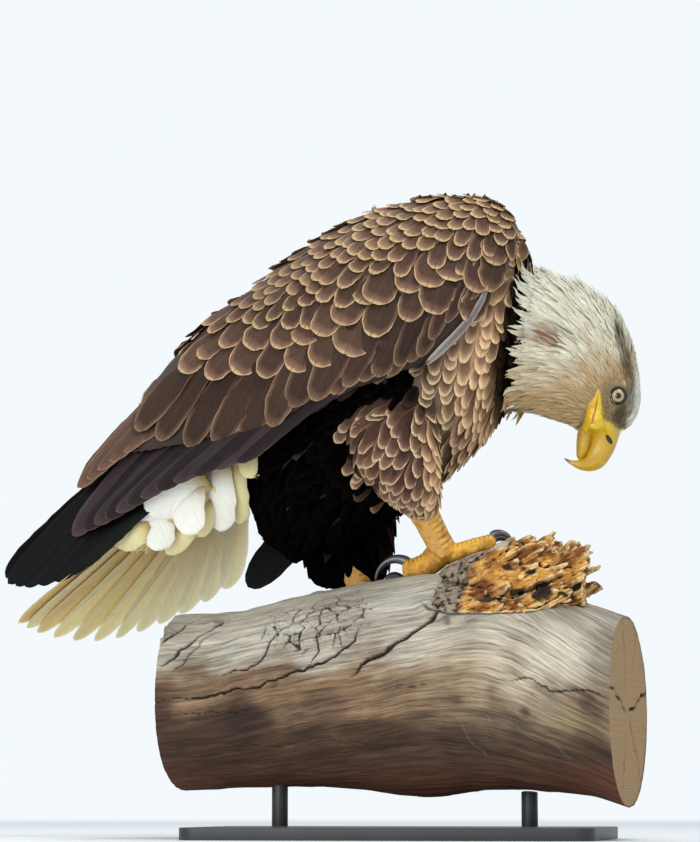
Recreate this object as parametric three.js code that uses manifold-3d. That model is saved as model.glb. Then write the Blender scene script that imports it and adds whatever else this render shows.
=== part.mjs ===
// A life-size bald eagle on a cut length of dead log, held by a display stand.
// Millimetres, +Z up, +X the way the bird faces, -Y its right side. The origin is the centre of the
// stand's underside. All points are [x, y, z].
import * as THREE from "three";
import { mergeVertices } from "three/addons/utils/BufferGeometryUtils.js";
import Module from "manifold-3d";

const wasm = await Module();
wasm.setup();

// ---------------------------------------------------------------- driving dimensions
const GAP = 0.4; // clearance between neighbouring solids

// Body forms are lofted over ribs: each rib has a top and a low point and a half-width.
const TRUNK = [
  { top: [-168, 0, 462], low: [-162, 0, 366], half: 20 },
  { top: [-150, 0, 500], low: [-148, 0, 306], half: 46 },
  { top: [-110, 0, 545], low: [-110, 0, 272], half: 66 },
  { top: [-58, 0, 584], low: [-60, 0, 284], half: 78 },
  { top: [-4, 0, 610], low: [-8, 0, 314], half: 85 },
  { top: [44, 0, 621], low: [42, 0, 350], half: 86 },
  { top: [84, 0, 613], low: [80, 0, 386], half: 79 },
  { top: [114, 0, 591], low: [104, 0, 420], half: 67 },
  { top: [132, 0, 562], low: [120, 0, 444], half: 50 },
];
const NECK_AND_HEAD = [
  { top: [88, 0, 580], low: [84, 0, 416], half: 64 },
  { top: [124, 0, 573], low: [114, 0, 417], half: 60 },
  { top: [150, 0, 558], low: [134, 0, 415], half: 53 },
  { top: [178, 0, 548], low: [150, -1, 408], half: 47 },
  { top: [206, -1, 533], low: [162, -2, 405], half: 43 },
  { top: [226, -2, 506], low: [169, -3, 403], half: 40 },
  { top: [235, -3, 470], low: [174, -4, 400], half: 37 },
  { top: [239, -4, 438], low: [179, -5, 397], half: 32 },
  { top: [236, -5, 415], low: [183, -6, 394], half: 25 },
  { top: [226, -6, 397], low: [189, -6, 390], half: 15 },
];
const NECK_CUT = { x: 122, z: 474, lean: 8 }; // where the neck leaves the trunk
const HEAD_CUT = { x: 186, z: 474, lean: 48 }; // where the head leaves the neck

// The head's own frame: its origin is midway between the eyes, +X out through the bill, +Z the crown.
const HEAD = { at: [221, -4, 428], pitch: 98.6, turn: -4 };
const EYE = { radius: 11, lateral: 20.5, opening: 7.6, bore: [22.5, 42.5] };
const BROW = { at: [0, 20, 9], reach: [19, 8, 4.5], splay: 10 };
const UPPER_BILL = [
  { top: [22, 0, 0], low: [22, 0, -23], half: 13.5 },
  { top: [37, 0, -0.5], low: [36, 0, -24.5], half: 13.5 },
  { top: [48, 0, -1.5], low: [47, 0, -25.5], half: 12.5 },
  { top: [58, 0, -5], low: [57, 0, -27.5], half: 11 },
  { top: [67, 0, -10], low: [61, 0, -29.5], half: 9 },
  { top: [72.5, 0, -17], low: [63, 0, -32], half: 7 },
  { top: [74.6, 0, -26], low: [64.5, 0, -35.5], half: 5 },
  { top: [73.5, 0, -35], low: [65.5, 0, -40], half: 3.2 },
  { top: [69.5, 0, -44], low: [65.5, 0, -45], half: 1.8 },
  { top: [65.6, 0, -50], low: [64.4, 0, -50], half: 0.6 },
];
const LOWER_BILL = [
  { top: [22, 0, -20], low: [22, 0, -38], half: 12.5 },
  { top: [44, 0, -20], low: [42, 0, -39.5], half: 11 },
  { top: [58, 0, -24], low: [56, 0, -39], half: 8.5 },
  { top: [64, 0, -31], low: [63, 0, -38], half: 5 },
];
const GAPE = { back: [-6, 32, -20.5], front: [42, 9, -20.5], radius: [2, 5.5] };

// Folded wing, right side: the covert-clad arm between its upper and lower edge.
const ARM = [
  { top: [122, -50, 597], low: [119, -62, 556], bulge: 5, half: 6 },
  { top: [106, -56, 620], low: [100, -80, 514], bulge: 14, half: 11 },
  { top: [62, -52, 631], low: [52, -92, 456], bulge: 24, half: 14 },
  { top: [-4, -44, 623], low: [-10, -97, 440], bulge: 28, half: 14 },
  { top: [-58, -34, 606], low: [-70, -94, 400], bulge: 28, half: 13 },
  { top: [-108, -26, 577], low: [-126, -84, 382], bulge: 24, half: 11 },
  { top: [-158, -20, 544], low: [-184, -64, 382], bulge: 17, half: 9 },
  { top: [-206, -16, 510], low: [-230, -48, 382], bulge: 11, half: 6.5 },
  { top: [-246, -14, 468], low: [-264, -40, 376], bulge: 7, half: 4.5 },
  { top: [-270, -12, 432], low: [-280, -32, 378], bulge: 3, half: 2.5 },
];
// Rows of flight feathers lie between two root and two tip points; each feather overlaps the next.
const SECONDARIES = {
  count: 9, half: 20, thickness: 2.6,
  roots: [[-16, -100, 452], [-212, -38, 436]], tips: [[-148, -86, 366], [-336, -30, 306]],
};
const PRIMARIES = {
  count: 5, half: 12.5, thickness: 2.2,
  roots: [[-210, -40, 376], [-222, -26, 430]], tips: [[-346, -24, 264], [-399, -18, 250]],
};
// The left wing: degrees that its rear is held higher, turned at the shoulder, and how far it is set back.
const LEFT_WING = { shoulder: [60, 0, 560], lift: 1, back: 5 };
const LOOSE_FEATHER = { root: [4, 104, 462], tip: [-184, 118, 258], half: 21, thickness: 2.4 };

// Tail: a fan of feathers between its right and left edge, and the coverts round its root.
const TAIL = {
  count: 12, root: [-158, 0, 396], half: 17, thickness: 2, inset: 40,
  right: [-227, -16, -188], left: [-66, 228, -137],
};
const RUMP = [
  { top: [-110, 0, 452], low: [-136, 0, 352], half: 44 },
  { top: [-148, 0, 426], low: [-168, 0, 322], half: 46 },
  { top: [-188, 2, 394], low: [-204, 2, 304], half: 44 },
  { top: [-226, 2, 362], low: [-238, 2, 290], half: 38 },
  { top: [-258, 0, 332], low: [-266, 0, 286], half: 30 },
  { top: [-280, -2, 308], low: [-284, -2, 288], half: 18 },
];

// Legs: feathered thigh from the top down, then the bare shank and the foot.
const RIGHT_LEG = {
  thigh: [
    { top: [42, -44, 446], low: [-30, -44, 436], half: 26 },
    { top: [45, -58, 422], low: [-40, -58, 412], half: 32 },
    { top: [49, -69, 392], low: [-46, -69, 384], half: 37 },
    { top: [52, -72, 362], low: [-36, -72, 356], half: 34 },
    { top: [52, -69, 338], low: [-16, -69, 334], half: 28 },
    { top: [50, -65, 320], low: [6, -65, 318], half: 21 },
    { top: [45, -62, 306], low: [20, -62, 308], half: 14 },
  ],
  shank: { from: [28, -62, 322], to: [46, -40, 282], radius: 12.5 },
  foot: [47, -38, 278],
};
const LEFT_LEG = {
  thigh: [
    { top: [20, 52, 440], low: [-84, 52, 420], half: 34 },
    { top: [6, 62, 396], low: [-104, 62, 378], half: 38 },
    { top: [-10, 62, 346], low: [-112, 62, 330], half: 36 },
    { top: [-16, 56, 304], low: [-114, 56, 292], half: 31 },
    { top: [-20, 49, 268], low: [-108, 49, 262], half: 24 },
    { top: [-34, 45, 252], low: [-88, 45, 250], half: 14 },
  ],
  shank: { from: [-57, 44, 268], to: [-48, 37, 244], radius: 12 },
  foot: [-47, 36, 239],
};
const ANKLE = [17, 14, 12]; // reach of the joint where the toes meet, along X, Y and Z
// Toes: aim is degrees about +Z from straight ahead, + to the left.
const RIGHT_TOES = {
  hallux: { aim: 176, reach: 41, radius: 11.5, curve: 21 },
  inner: { aim: 54, reach: 42, radius: 8.5, curve: 17 },
  middle: { aim: 21, reach: 54, radius: 8.5, curve: 12.5 },
  outer: { aim: -2, reach: 53, radius: 8.5, curve: 12.5 },
};
const LEFT_TOES = {
  hallux: { aim: 178, reach: 38, radius: 11, curve: 21 },
  inner: { aim: -34, reach: 40, radius: 8.5, curve: 17 },
  middle: { aim: -3, reach: 54, radius: 8.5, curve: 14 },
  outer: { aim: 22, reach: 48, radius: 8.5, curve: 13.5 },
};
const TALON = { sweep: 136, start: -38, girth: 5 }; // degrees of arc, degrees before the top, radius

// Perch: a log and the splintered stub of a limb, along a line turned about +Z.
const PERCH = { turn: -6, y: -25 };
const LOG = [
  { x: -222, top: 224, low: 46, half: 86 },
  { x: -160, top: 227, low: 50, half: 90 },
  { x: -99, top: 239, low: 51, half: 92 },
  { x: -38, top: 250, low: 47, half: 95 },
  { x: 30, top: 257, low: 38, half: 99 },
  { x: 84, top: 252, low: 44, half: 99 },
  { x: 136, top: 242, low: 44, half: 97 },
  { x: 190, top: 228, low: 38, half: 95 },
  { x: 228, top: 214, low: 28, half: 92 },
];
const STUB = [
  { x: 34, top: 255, low: 216, half: 24 },
  { x: 52, top: 268, low: 212, half: 36 },
  { x: 82, top: 279, low: 210, half: 46 },
  { x: 112, top: 284, low: 208, half: 50 },
  { x: 144, top: 283, low: 206, half: 50 },
  { x: 170, top: 275, low: 206, half: 46 },
];
const SPLINTERS = { count: 9, length: 34, radius: 15, ring: [30, 22], x: 172, z: 244 };

const BASE = { length: 400, width: 236, thickness: 12, corner: 18 };
const ROD = { radius: 8, height: 90, x: [-118, 128], sides: 16 };

// ---------------------------------------------------------------- shapes
const { PI, sin, cos, sqrt, max, min, sign, abs } = Math;
const rad = THREE.MathUtils.degToRad;
const vec = (p) => new THREE.Vector3(...p);
const UP = vec([0, 0, 1]);

const mix = (a, b, t) => a.map((v, i) => v + (b[i] - v) * t);
const curveOf = (points) => new THREE.CatmullRomCurve3(points, false, "catmullrom", 0.5);

// A closed mesh as a manifold-3d solid.
function solid(geometry) {
  const bare = new THREE.BufferGeometry().setAttribute("position", geometry.getAttribute("position"));
  bare.setIndex(geometry.index);
  const merged = mergeVertices(bare, 1e-4);
  return new wasm.Manifold(
    new wasm.Mesh({
      numProp: 3,
      vertProperties: merged.attributes.position.array,
      triVerts: new Uint32Array(merged.index.array),
    }),
  );
}

// A solid as a three.js geometry.
function geometryOf(made) {
  const mesh = made.getMesh();
  const places = new Float32Array(mesh.numVert * 3);
  for (let i = 0; i < mesh.numVert; i++) {
    places.set(mesh.vertProperties.subarray(i * mesh.numProp, i * mesh.numProp + 3), i * 3);
  }
  const geometry = new THREE.BufferGeometry();
  geometry.setAttribute("position", new THREE.BufferAttribute(places, 3));
  geometry.setIndex(new THREE.BufferAttribute(mesh.triVerts, 1));
  geometry.computeVertexNormals();
  return geometry;
}

const moved = (made, matrix) => made.transform(matrix.elements);
const joined = (parts) => parts.reduce((all, one) => all.add(one));

// The largest piece of a solid, without the slivers that a cut may leave.
const whole = (made) =>
  made.decompose().reduce((best, one) => (one.volume() > best.volume() ? one : best));

// Bends a closed cylinder: place(t, angle, r) gives each vertex from its share of the length, its angle
// and its share of the radius.
function bentCylinder(sides, rings, place) {
  const tube = new THREE.CylinderGeometry(1, 1, 1, sides, rings);
  const at = tube.getAttribute("position");
  const v = new THREE.Vector3();
  for (let i = 0; i < at.count; i++) {
    v.fromBufferAttribute(at, i);
    const p = place(v.y + 0.5, Math.atan2(v.z, v.x), Math.hypot(v.x, v.z) < 0.5 ? 0 : 1);
    at.setXYZ(i, p.x, p.y, p.z);
  }
  const made = solid(tube);
  if (made.volume() > 0) return made;
  const index = tube.index.array;
  for (let i = 0; i < index.length; i += 3) [index[i + 1], index[i + 2]] = [index[i + 2], index[i + 1]];
  return solid(tube);
}

// Rounds the ends of a form: 1 along its middle, falling to 0 over `cap` of its length at each end.
function roundedEnds(t, cap) {
  const near = min(t, 1 - t) / max(cap, 1e-6);
  return near >= 1 ? 1 : sqrt(max(0, near * (2 - near)));
}

// A form with oval sections. frameAt(t) gives each section's middle, its up and side directions, its
// half-height and half-width, and the way along. `grow` adds a skin and `square` fills out the corners.
function sweep(frameAt, { sides = 18, rings = 12, grow = 0, cap = 0.06, square = 2 }) {
  const power = 2 / square;
  return bentCylinder(sides, rings, (share, angle, r) => {
    const t = (1 - cos(PI * share)) / 2;
    const at = frameAt(t);
    const round = roundedEnds(t, cap);
    const high = sign(sin(angle)) * abs(sin(angle)) ** power * (at.high * round + grow);
    const wide = sign(cos(angle)) * abs(cos(angle)) ** power * (at.wide * round + grow);
    const p = at.middle.addScaledVector(at.up, r * high).addScaledVector(at.side, r * wide);
    return p.addScaledVector(at.along, share === 0 ? -grow : share === 1 ? grow : 0);
  });
}

function loft(ribs, options = {}) {
  const tops = curveOf(ribs.map((rib) => vec(rib.top)));
  const lows = curveOf(ribs.map((rib) => vec(rib.low)));
  const halves = curveOf(ribs.map((rib) => vec([rib.half, 0, 0])));
  return sweep((t) => {
    const [top, low] = [tops.getPoint(t), lows.getPoint(t)];
    const up = top.clone().sub(low);
    const high = up.length() / 2;
    up.normalize();
    const along = tops.getTangent(t).add(lows.getTangent(t)).normalize();
    const side = along.clone().cross(up).normalize();
    return { middle: top.add(low).multiplyScalar(0.5), up, side, along, high, wide: halves.getPoint(t).x };
  }, options);
}

// A round form along a path. `flat` narrows its sections sideways.
function tube(points, radiusAt, { flat = 1, ...options } = {}) {
  const path = curveOf(points);
  return sweep((t) => {
    const along = path.getTangent(t);
    const side = along.clone().cross(UP).normalize();
    const up = side.clone().cross(along).normalize();
    const radius = radiusAt(t);
    return { middle: path.getPoint(t), up, side, along, high: radius, wide: radius * flat };
  }, options);
}

function ellipsoid(at, [a, b, c], sides = 12, rings = 8, turnZ = 0) {
  const ball = new THREE.SphereGeometry(1, sides, rings);
  return solid(ball.scale(a, b, c).rotateZ(rad(turnZ)).translate(...at));
}

// A box far larger than the bird on one side of a leaning plane, for parting a form with a thin cut.
function halfSpace({ x, z, lean }, ahead) {
  const size = 900;
  const box = new THREE.BoxGeometry(size, size, size);
  box.translate(ahead ? size / 2 + GAP : -size / 2, 0, 0).rotateY(rad(lean)).translate(x, 0, z);
  return solid(box);
}

const extruded = (outline, depth, curveSegments) =>
  new THREE.ExtrudeGeometry(outline, { depth, bevelEnabled: false, curveSegments });

// One flat feather from root to tip, facing along `facing`, with a rounded end.
function vane(root, tip, facing, half, thickness) {
  const length = root.distanceTo(tip);
  const along = tip.clone().sub(root).normalize();
  const across = facing.clone().cross(along).normalize();
  const outline = new THREE.Shape();
  outline.moveTo(0, -half * 0.55).lineTo(length * 0.45, -half).lineTo(length - half * 1.25, -half);
  outline.quadraticCurveTo(length - half * 0.1, -half * 0.8, length, 0);
  outline.quadraticCurveTo(length - half * 0.1, half * 0.8, length - half * 1.25, half);
  outline.lineTo(length * 0.45, half).lineTo(0, half * 0.55);
  const slab = extruded(outline, thickness, 2).translate(0, 0, -thickness / 2);
  const frame = new THREE.Matrix4().makeBasis(along, across, along.clone().cross(across)).setPosition(root);
  return moved(solid(slab), frame);
}

// Overlapping feathers on the surface that their root and tip lines span. Each lies a little further in
// than the last, so that neighbours share a face.
function featherRow({ count, half, thickness, roots, tips }, grow = 0) {
  const [rootLine, tipLine] = [roots, tips].map(([from, to]) => vec(to).sub(vec(from)));
  const across = rootLine.add(tipLine);
  return joined(
    Array.from({ length: count }, (_, i) => {
      const [root, tip] = [roots, tips].map(([from, to]) => vec(mix(from, to, i / (count - 1))));
      const facing = tip.clone().sub(root).cross(across).normalize();
      if (facing.y > 0) facing.negate();
      const inward = facing.clone().multiplyScalar(-0.45 * thickness * i);
      return vane(root.add(inward), tip.add(inward), facing, half + grow, thickness + 2 * grow);
    }),
  );
}

// ---------------------------------------------------------------- body, neck and head
const trunkForm = (grow = 0) => loft(TRUNK, { sides: 20, rings: 12, grow, cap: 0.08, square: 2.2 });
const neckForm = (grow = 0) =>
  loft(NECK_AND_HEAD, { sides: 18, rings: 14, grow, cap: 0.02, square: 2.1 });
const rumpForm = (grow = 0) => loft(RUMP, { sides: 10, rings: 6, grow, cap: 0.08 });

const headFrame = new THREE.Matrix4()
  .makeTranslation(...HEAD.at)
  .multiply(new THREE.Matrix4().makeRotationZ(rad(HEAD.turn)))
  .multiply(new THREE.Matrix4().makeRotationY(rad(HEAD.pitch)));
const onHead = (made) => moved(made, headFrame);

const eyeBall = (side, grow = 0) =>
  onHead(ellipsoid([0, side * EYE.lateral, 0], Array(3).fill(EYE.radius + grow), 10, 7));

// The round opening between the lids, bored from the side of the head down to the eye.
function eyeOpening(side) {
  const [inner, outer] = EYE.bore;
  const bore = new THREE.CylinderGeometry(EYE.opening, EYE.opening, outer - inner, 10);
  return onHead(solid(bore.translate(0, (side * (inner + outer)) / 2, 0)));
}

const brow = (side) =>
  onHead(ellipsoid([BROW.at[0], side * BROW.at[1], BROW.at[2]], BROW.reach, 10, 6, -side * BROW.splay));

function gapeFlange(side, grow) {
  const path = [0, 0.5, 1].map((t) => {
    const [x, y, z] = mix(GAPE.back, GAPE.front, t);
    return vec([x, side * y, z]);
  });
  const radiusAt = (t) => GAPE.radius[0] + (GAPE.radius[1] - GAPE.radius[0]) * t;
  return onHead(tube(path, radiusAt, { sides: 8, rings: 4, grow, cap: 0.1 }));
}

const upperBill = (grow = 0) =>
  joined([
    onHead(loft(UPPER_BILL, { sides: 12, rings: 12, grow, cap: 0.005, square: 2.6 })),
    gapeFlange(-1, grow),
    gapeFlange(1, grow),
  ]);
const lowerBill = (grow = 0) =>
  onHead(loft(LOWER_BILL, { sides: 10, rings: 5, grow, cap: 0.02, square: 2.3 }));

// ---------------------------------------------------------------- wings and tail
function armForm(grow = 0) {
  const edge = (key) => curveOf(ARM.map((rib) => vec(rib[key])));
  const [tops, lows] = [edge("top"), edge("low")];
  const sizes = curveOf(ARM.map((rib) => vec([rib.bulge, rib.half, 0])));
  return bentCylinder(16, 12, (share, angle, r) => {
    const t = (1 - cos(PI * share)) / 2;
    const [top, low] = [tops.getPoint(t), lows.getPoint(t)];
    const across = low.clone().sub(top);
    const out = across.clone().normalize().cross(tops.getTangent(t)).normalize();
    if (out.y > 0) out.negate();
    const size = sizes.getPoint(t);
    const place = (1 - r * cos(angle)) / 2;
    const bulge = size.x * (1 - (1 - 2 * place) ** 2);
    const thick = r * sin(angle) * (size.y * roundedEnds(t, 0.05) + grow);
    const skin = grow * r * cos(angle);
    return top.addScaledVector(across, place).addScaledVector(across.normalize(), -skin)
      .addScaledVector(out, bulge + thick);
  });
}

function rightWing() {
  const arm = armForm();
  const cleared = armForm(GAP);
  const secondaries = featherRow(SECONDARIES).subtract(cleared);
  const primaries = featherRow(PRIMARIES).subtract(cleared).subtract(featherRow(SECONDARIES, GAP));
  return { coverts: arm, secondaries, primaries };
}

// The left wing mirrors the right one, is held a little higher and has one feather hanging loose.
function leftWing(right) {
  const [x, y, z] = LEFT_WING.shoulder;
  const lift = new THREE.Matrix4()
    .makeTranslation(x - LEFT_WING.back, y, z)
    .multiply(new THREE.Matrix4().makeRotationY(rad(LEFT_WING.lift)))
    .multiply(new THREE.Matrix4().makeTranslation(-x, -y, -z));
  const wing = Object.fromEntries(
    Object.entries(right).map(([name, made]) => [name, moved(made.mirror([0, 1, 0]), lift)]),
  );
  const { root, tip, half, thickness } = LOOSE_FEATHER;
  const loose = (grow) => vane(vec(root), vec(tip), vec([0, 1, 0]), half + grow, thickness + 2 * grow);
  wing.coverts = wing.coverts.add(loose(0));
  wing.secondaries = wing.secondaries.subtract(loose(GAP));
  return wing;
}

function tailFan(grow = 0) {
  const [right, left] = [vec(TAIL.right), vec(TAIL.left)];
  const facing = right.clone().cross(left).normalize();
  const [first, last] = [right.clone().normalize(), left.clone().normalize()];
  const turn = new THREE.Quaternion().setFromUnitVectors(first, last);
  return joined(
    Array.from({ length: TAIL.count }, (_, i) => {
      const t = i / (TAIL.count - 1);
      const aim = first.clone().applyQuaternion(new THREE.Quaternion().slerp(turn, t));
      const length = right.length() * (1 - t) + left.length() * t;
      const stack = -abs(t - 0.5) * TAIL.thickness * 0.9 * (TAIL.count - 1);
      const root = vec(TAIL.root).addScaledVector(facing, stack).addScaledVector(aim, TAIL.inset);
      const tip = root.clone().addScaledVector(aim, length - TAIL.inset);
      return vane(root, tip, facing, TAIL.half + grow, TAIL.thickness + 2 * grow);
    }),
  );
}

// ---------------------------------------------------------------- perch and stand
const perchFrame = new THREE.Matrix4().makeRotationZ(rad(PERCH.turn)).setPosition(0, PERCH.y, 0);
const toPerch = perchFrame.clone().invert();
const uprightRibs = (rows) =>
  rows.map(({ x, top, low, half }) => ({ top: [x, 0, top], low: [x, 0, low], half }));

const logForm = (grow = 0) =>
  moved(loft(uprightRibs(LOG), { sides: 20, rings: 11, grow, cap: 0, square: 2.1 }), perchFrame);

// Height of the upper surface of a form with upright sections, over a point of the ground plan.
function surfaceOf(rows) {
  const curve = curveOf(rows.map(({ x, top, low }) => vec([x, top, low])));
  const halves = curveOf(rows.map(({ x, half }) => vec([x, half, 0])));
  const [first, last] = [rows[0].x, rows[rows.length - 1].x];
  return (x, y) => {
    const p = vec([x, y, 0]).applyMatrix4(toPerch);
    if (p.x < first || p.x > last) return -Infinity;
    let [low, high] = [0, 1];
    while (high - low > 1e-4) {
      const t = (low + high) / 2;
      if (curve.getPoint(t).x < p.x) low = t;
      else high = t;
    }
    const row = curve.getPoint(low);
    const share = min(1, abs(p.y) / halves.getPoint(low).y);
    return (row.y + row.z) / 2 + ((row.y - row.z) / 2) * sqrt(1 - share ** 2);
  };
}
const [logTop, stubTop] = [surfaceOf(LOG), surfaceOf(STUB)];
const perchTop = (x, y) => max(logTop(x, y), stubTop(x, y));

function stubForm(grow = 0) {
  const core = loft(uprightRibs(STUB), { sides: 14, rings: 8, grow, cap: 0.03 });
  const { count, length, radius, ring, x, z } = SPLINTERS;
  const spikes = Array.from({ length: count }, (_, i) => {
    const vary = (i * 2.4) % 1;
    const angle = (i / count) * 2 * PI;
    const cone = new THREE.ConeGeometry(radius * (0.7 + 0.5 * vary) + grow, length * (0.8 + 0.7 * vary), 5);
    cone.rotateZ(rad(18) - PI / 2).translate(x + 8 * vary, ring[0] * cos(angle), z + ring[1] * sin(angle));
    return solid(cone);
  });
  return moved(joined([core, ...spikes]), perchFrame);
}

function standRod(x) {
  const rod = new THREE.CylinderGeometry(ROD.radius, ROD.radius, ROD.height, ROD.sides);
  rod.rotateX(PI / 2).translate(x, PERCH.y, BASE.thickness + GAP + ROD.height / 2);
  return whole(solid(rod).subtract(logForm(GAP)));
}

function standBase() {
  const [l, w, c] = [BASE.length / 2, BASE.width / 2, BASE.corner];
  const outline = new THREE.Shape();
  outline.moveTo(-l + c, -w).lineTo(l - c, -w).absarc(l - c, -w + c, c, -PI / 2, 0);
  outline.lineTo(l, w - c).absarc(l - c, w - c, c, 0, PI / 2);
  outline.lineTo(-l + c, w).absarc(-l + c, w - c, c, PI / 2, PI);
  outline.lineTo(-l, -w + c).absarc(-l + c, -w + c, c, PI, 1.5 * PI);
  return solid(extruded(outline, BASE.thickness, 5));
}

// ---------------------------------------------------------------- legs, feet and talons
const thighForm = (leg, grow = 0) => loft(leg.thigh, { sides: 14, rings: 8, grow, cap: 0.07 });
const ankle = (leg) => ellipsoid(leg.foot, ANKLE, 8, 5);

function shankForm({ from, to, radius }) {
  const points = [0, 0.5, 1].map((t) => vec(mix(from, to, t)));
  return tube(points, () => radius, { sides: 9, rings: 4, cap: 0.08 });
}

// A toe arches out from the foot and comes down on whatever lies under it.
function toePath(foot, { aim, reach, radius }) {
  return [0, 0.25, 0.5, 0.75, 1].map((t) => {
    const x = foot[0] + reach * t * cos(rad(aim));
    const y = foot[1] + reach * t * sin(rad(aim));
    const rest = perchTop(x, y) + radius * 0.66;
    return vec([x, y, rest + max(0, foot[2] - rest) * (1 - t) ** 2.5]);
  });
}

const toeForm = (foot, toe) =>
  tube(toePath(foot, toe), (t) => toe.radius * (1.1 - 0.24 * t), { sides: 7, rings: 4, cap: 0.14 });

// A claw: an arc in the upright plane of its toe, thinning to a point.
function talonForm(foot, toe, grow = 0) {
  const [before, end] = toePath(foot, toe).slice(-2);
  const ahead = end.clone().sub(before).setZ(0).normalize();
  const round = (angle) => ahead.clone().multiplyScalar(sin(angle)).addScaledVector(UP, cos(angle));
  const root = end.clone().addScaledVector(UP, toe.radius * 0.62).addScaledVector(ahead, toe.radius * -0.6);
  const centre = root.addScaledVector(round(rad(TALON.start)), -toe.curve);
  const path = [0, 0.25, 0.5, 0.75, 1].map((t) =>
    centre.clone().addScaledVector(round(rad(TALON.start + TALON.sweep * t)), toe.curve));
  const girth = TALON.girth * sqrt(toe.curve / 18);
  const taper = (t) => girth * (1 - 0.86 * t ** 1.2);
  return tube(path, taper, { sides: 6, rings: 5, grow, cap: 0.04, flat: 0.8 });
}

// ---------------------------------------------------------------- assembly
const finishes = {
  brown: { color: 0x5a4436, roughness: 0.75 },
  darkBrown: { color: 0x3b2e2a, roughness: 0.6 },
  white: { color: 0xe8e6dc, roughness: 0.75 },
  bill: { color: 0xe0a92c, roughness: 0.35 },
  scale: { color: 0xd69a30, roughness: 0.55 },
  claw: { color: 0x26262a, roughness: 0.3 },
  iris: { color: 0xd8c56a, roughness: 0.1 },
  wood: { color: 0x9a9286, roughness: 0.9 },
  heartwood: { color: 0xa9783f, roughness: 0.9 },
  metal: { color: 0x1c1c1e, roughness: 0.45, metalness: 0.6 },
};

const eagle = new THREE.Group();
function add(name, made, finish) {
  const mesh = new THREE.Mesh(geometryOf(whole(made)), new THREE.MeshStandardMaterial(finishes[finish]));
  mesh.name = name;
  eagle.add(mesh);
}

function addBody() {
  const eyes = joined([eyeBall(-1, GAP), eyeBall(1, GAP)]);
  const form = neckForm();
  const head = form.intersect(halfSpace(HEAD_CUT, true)).add(brow(-1)).add(brow(1));
  const bill = upperBill(GAP).add(lowerBill(GAP));
  add("trunk", trunkForm().intersect(halfSpace(NECK_CUT, false)), "brown");
  add("neck", form.intersect(halfSpace(HEAD_CUT, false)).intersect(halfSpace(NECK_CUT, true)), "white");
  add("head", head.subtract(eyes).subtract(eyeOpening(-1)).subtract(eyeOpening(1)).subtract(bill), "white");
  add("bill_upper", upperBill(), "bill");
  add("bill_lower", lowerBill().subtract(upperBill(GAP)), "bill");
  add("eye_right", eyeBall(-1), "iris");
  add("eye_left", eyeBall(1), "iris");
}

function addTail(trunk) {
  add("rump", rumpForm().subtract(trunk).subtract(tailFan(GAP)), "white");
  add("tail", tailFan().subtract(trunk), "white");
}

function addWings(trunk) {
  const right = rightWing();
  const tail = rumpForm(GAP).add(tailFan(GAP));
  for (const [side, wing, leg] of [["right", right, RIGHT_LEG], ["left", leftWing(right), LEFT_LEG]]) {
    const neighbours = joined([trunk, neckForm(GAP), tail, thighForm(leg, GAP)]);
    add(`wing_${side}_coverts`, wing.coverts.subtract(neighbours), "brown");
    add(`wing_${side}_secondaries`, wing.secondaries.subtract(neighbours), "darkBrown");
    add(`wing_${side}_primaries`, wing.primaries.subtract(neighbours), "darkBrown");
  }
}

function addLegs(trunk) {
  const perch = logForm(GAP).add(stubForm(GAP));
  for (const [side, leg, toes] of [["right", RIGHT_LEG, RIGHT_TOES], ["left", LEFT_LEG, LEFT_TOES]]) {
    const sole = joined([ankle(leg), ...Object.values(toes).map((toe) => toeForm(leg.foot, toe))]);
    const talons = joined(Object.values(toes).map((toe) => talonForm(leg.foot, toe, GAP)));
    const foot = sole.add(shankForm(leg.shank)).subtract(thighForm(leg, GAP));
    add(`thigh_${side}`, thighForm(leg).subtract(trunk).subtract(perch), "brown");
    add(`foot_${side}`, foot.subtract(talons).subtract(perch), "scale");
    for (const [name, toe] of Object.entries(toes)) {
      add(`talon_${side}_${name}`, talonForm(leg.foot, toe).subtract(perch), "claw");
    }
  }
}

function addPerch() {
  add("perch_log", logForm(), "wood");
  add("perch_stub", stubForm().subtract(logForm(GAP)), "heartwood");
  add("stand_base", standBase(), "metal");
  ROD.x.forEach((x, i) => add(`stand_rod_${["back", "front"][i]}`, standRod(x), "metal"));
}

const clearTrunk = trunkForm(GAP);
addBody();
addTail(clearTrunk);
addWings(clearTrunk);
addLegs(clearTrunk);
addPerch();

export default eagle;
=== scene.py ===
from functools import partial
from math import acos, cos, hypot, pi, radians, sin, sqrt

import bpy
import numpy as np
from mathutils import Matrix, Vector
from mathutils.bvhtree import BVHTree


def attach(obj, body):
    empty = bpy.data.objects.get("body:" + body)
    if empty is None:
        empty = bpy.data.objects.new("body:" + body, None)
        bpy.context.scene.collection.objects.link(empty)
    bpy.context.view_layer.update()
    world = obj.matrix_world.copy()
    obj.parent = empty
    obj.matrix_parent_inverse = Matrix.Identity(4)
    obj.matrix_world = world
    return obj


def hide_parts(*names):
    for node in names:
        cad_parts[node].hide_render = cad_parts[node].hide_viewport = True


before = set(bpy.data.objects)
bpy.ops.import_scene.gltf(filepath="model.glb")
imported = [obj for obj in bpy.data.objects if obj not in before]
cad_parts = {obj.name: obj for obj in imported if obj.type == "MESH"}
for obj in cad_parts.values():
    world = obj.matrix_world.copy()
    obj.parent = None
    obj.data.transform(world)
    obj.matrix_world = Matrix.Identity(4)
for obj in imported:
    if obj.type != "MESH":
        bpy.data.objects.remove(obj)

bl_info = {
    "name": "Bald eagle on a log",
    "version": (1, 0, 0),
    "blender": (4, 5, 0),
    "location": "3D View > Sidebar > Eagle",
    "description": "Dresses the eagle with plumage, horn, scaled feet, weathered wood and its stand",
    "category": "Object",
}

MM = 0.001  # Metres in a millimetre. Lengths are millimetres until a mesh is made.


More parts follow.
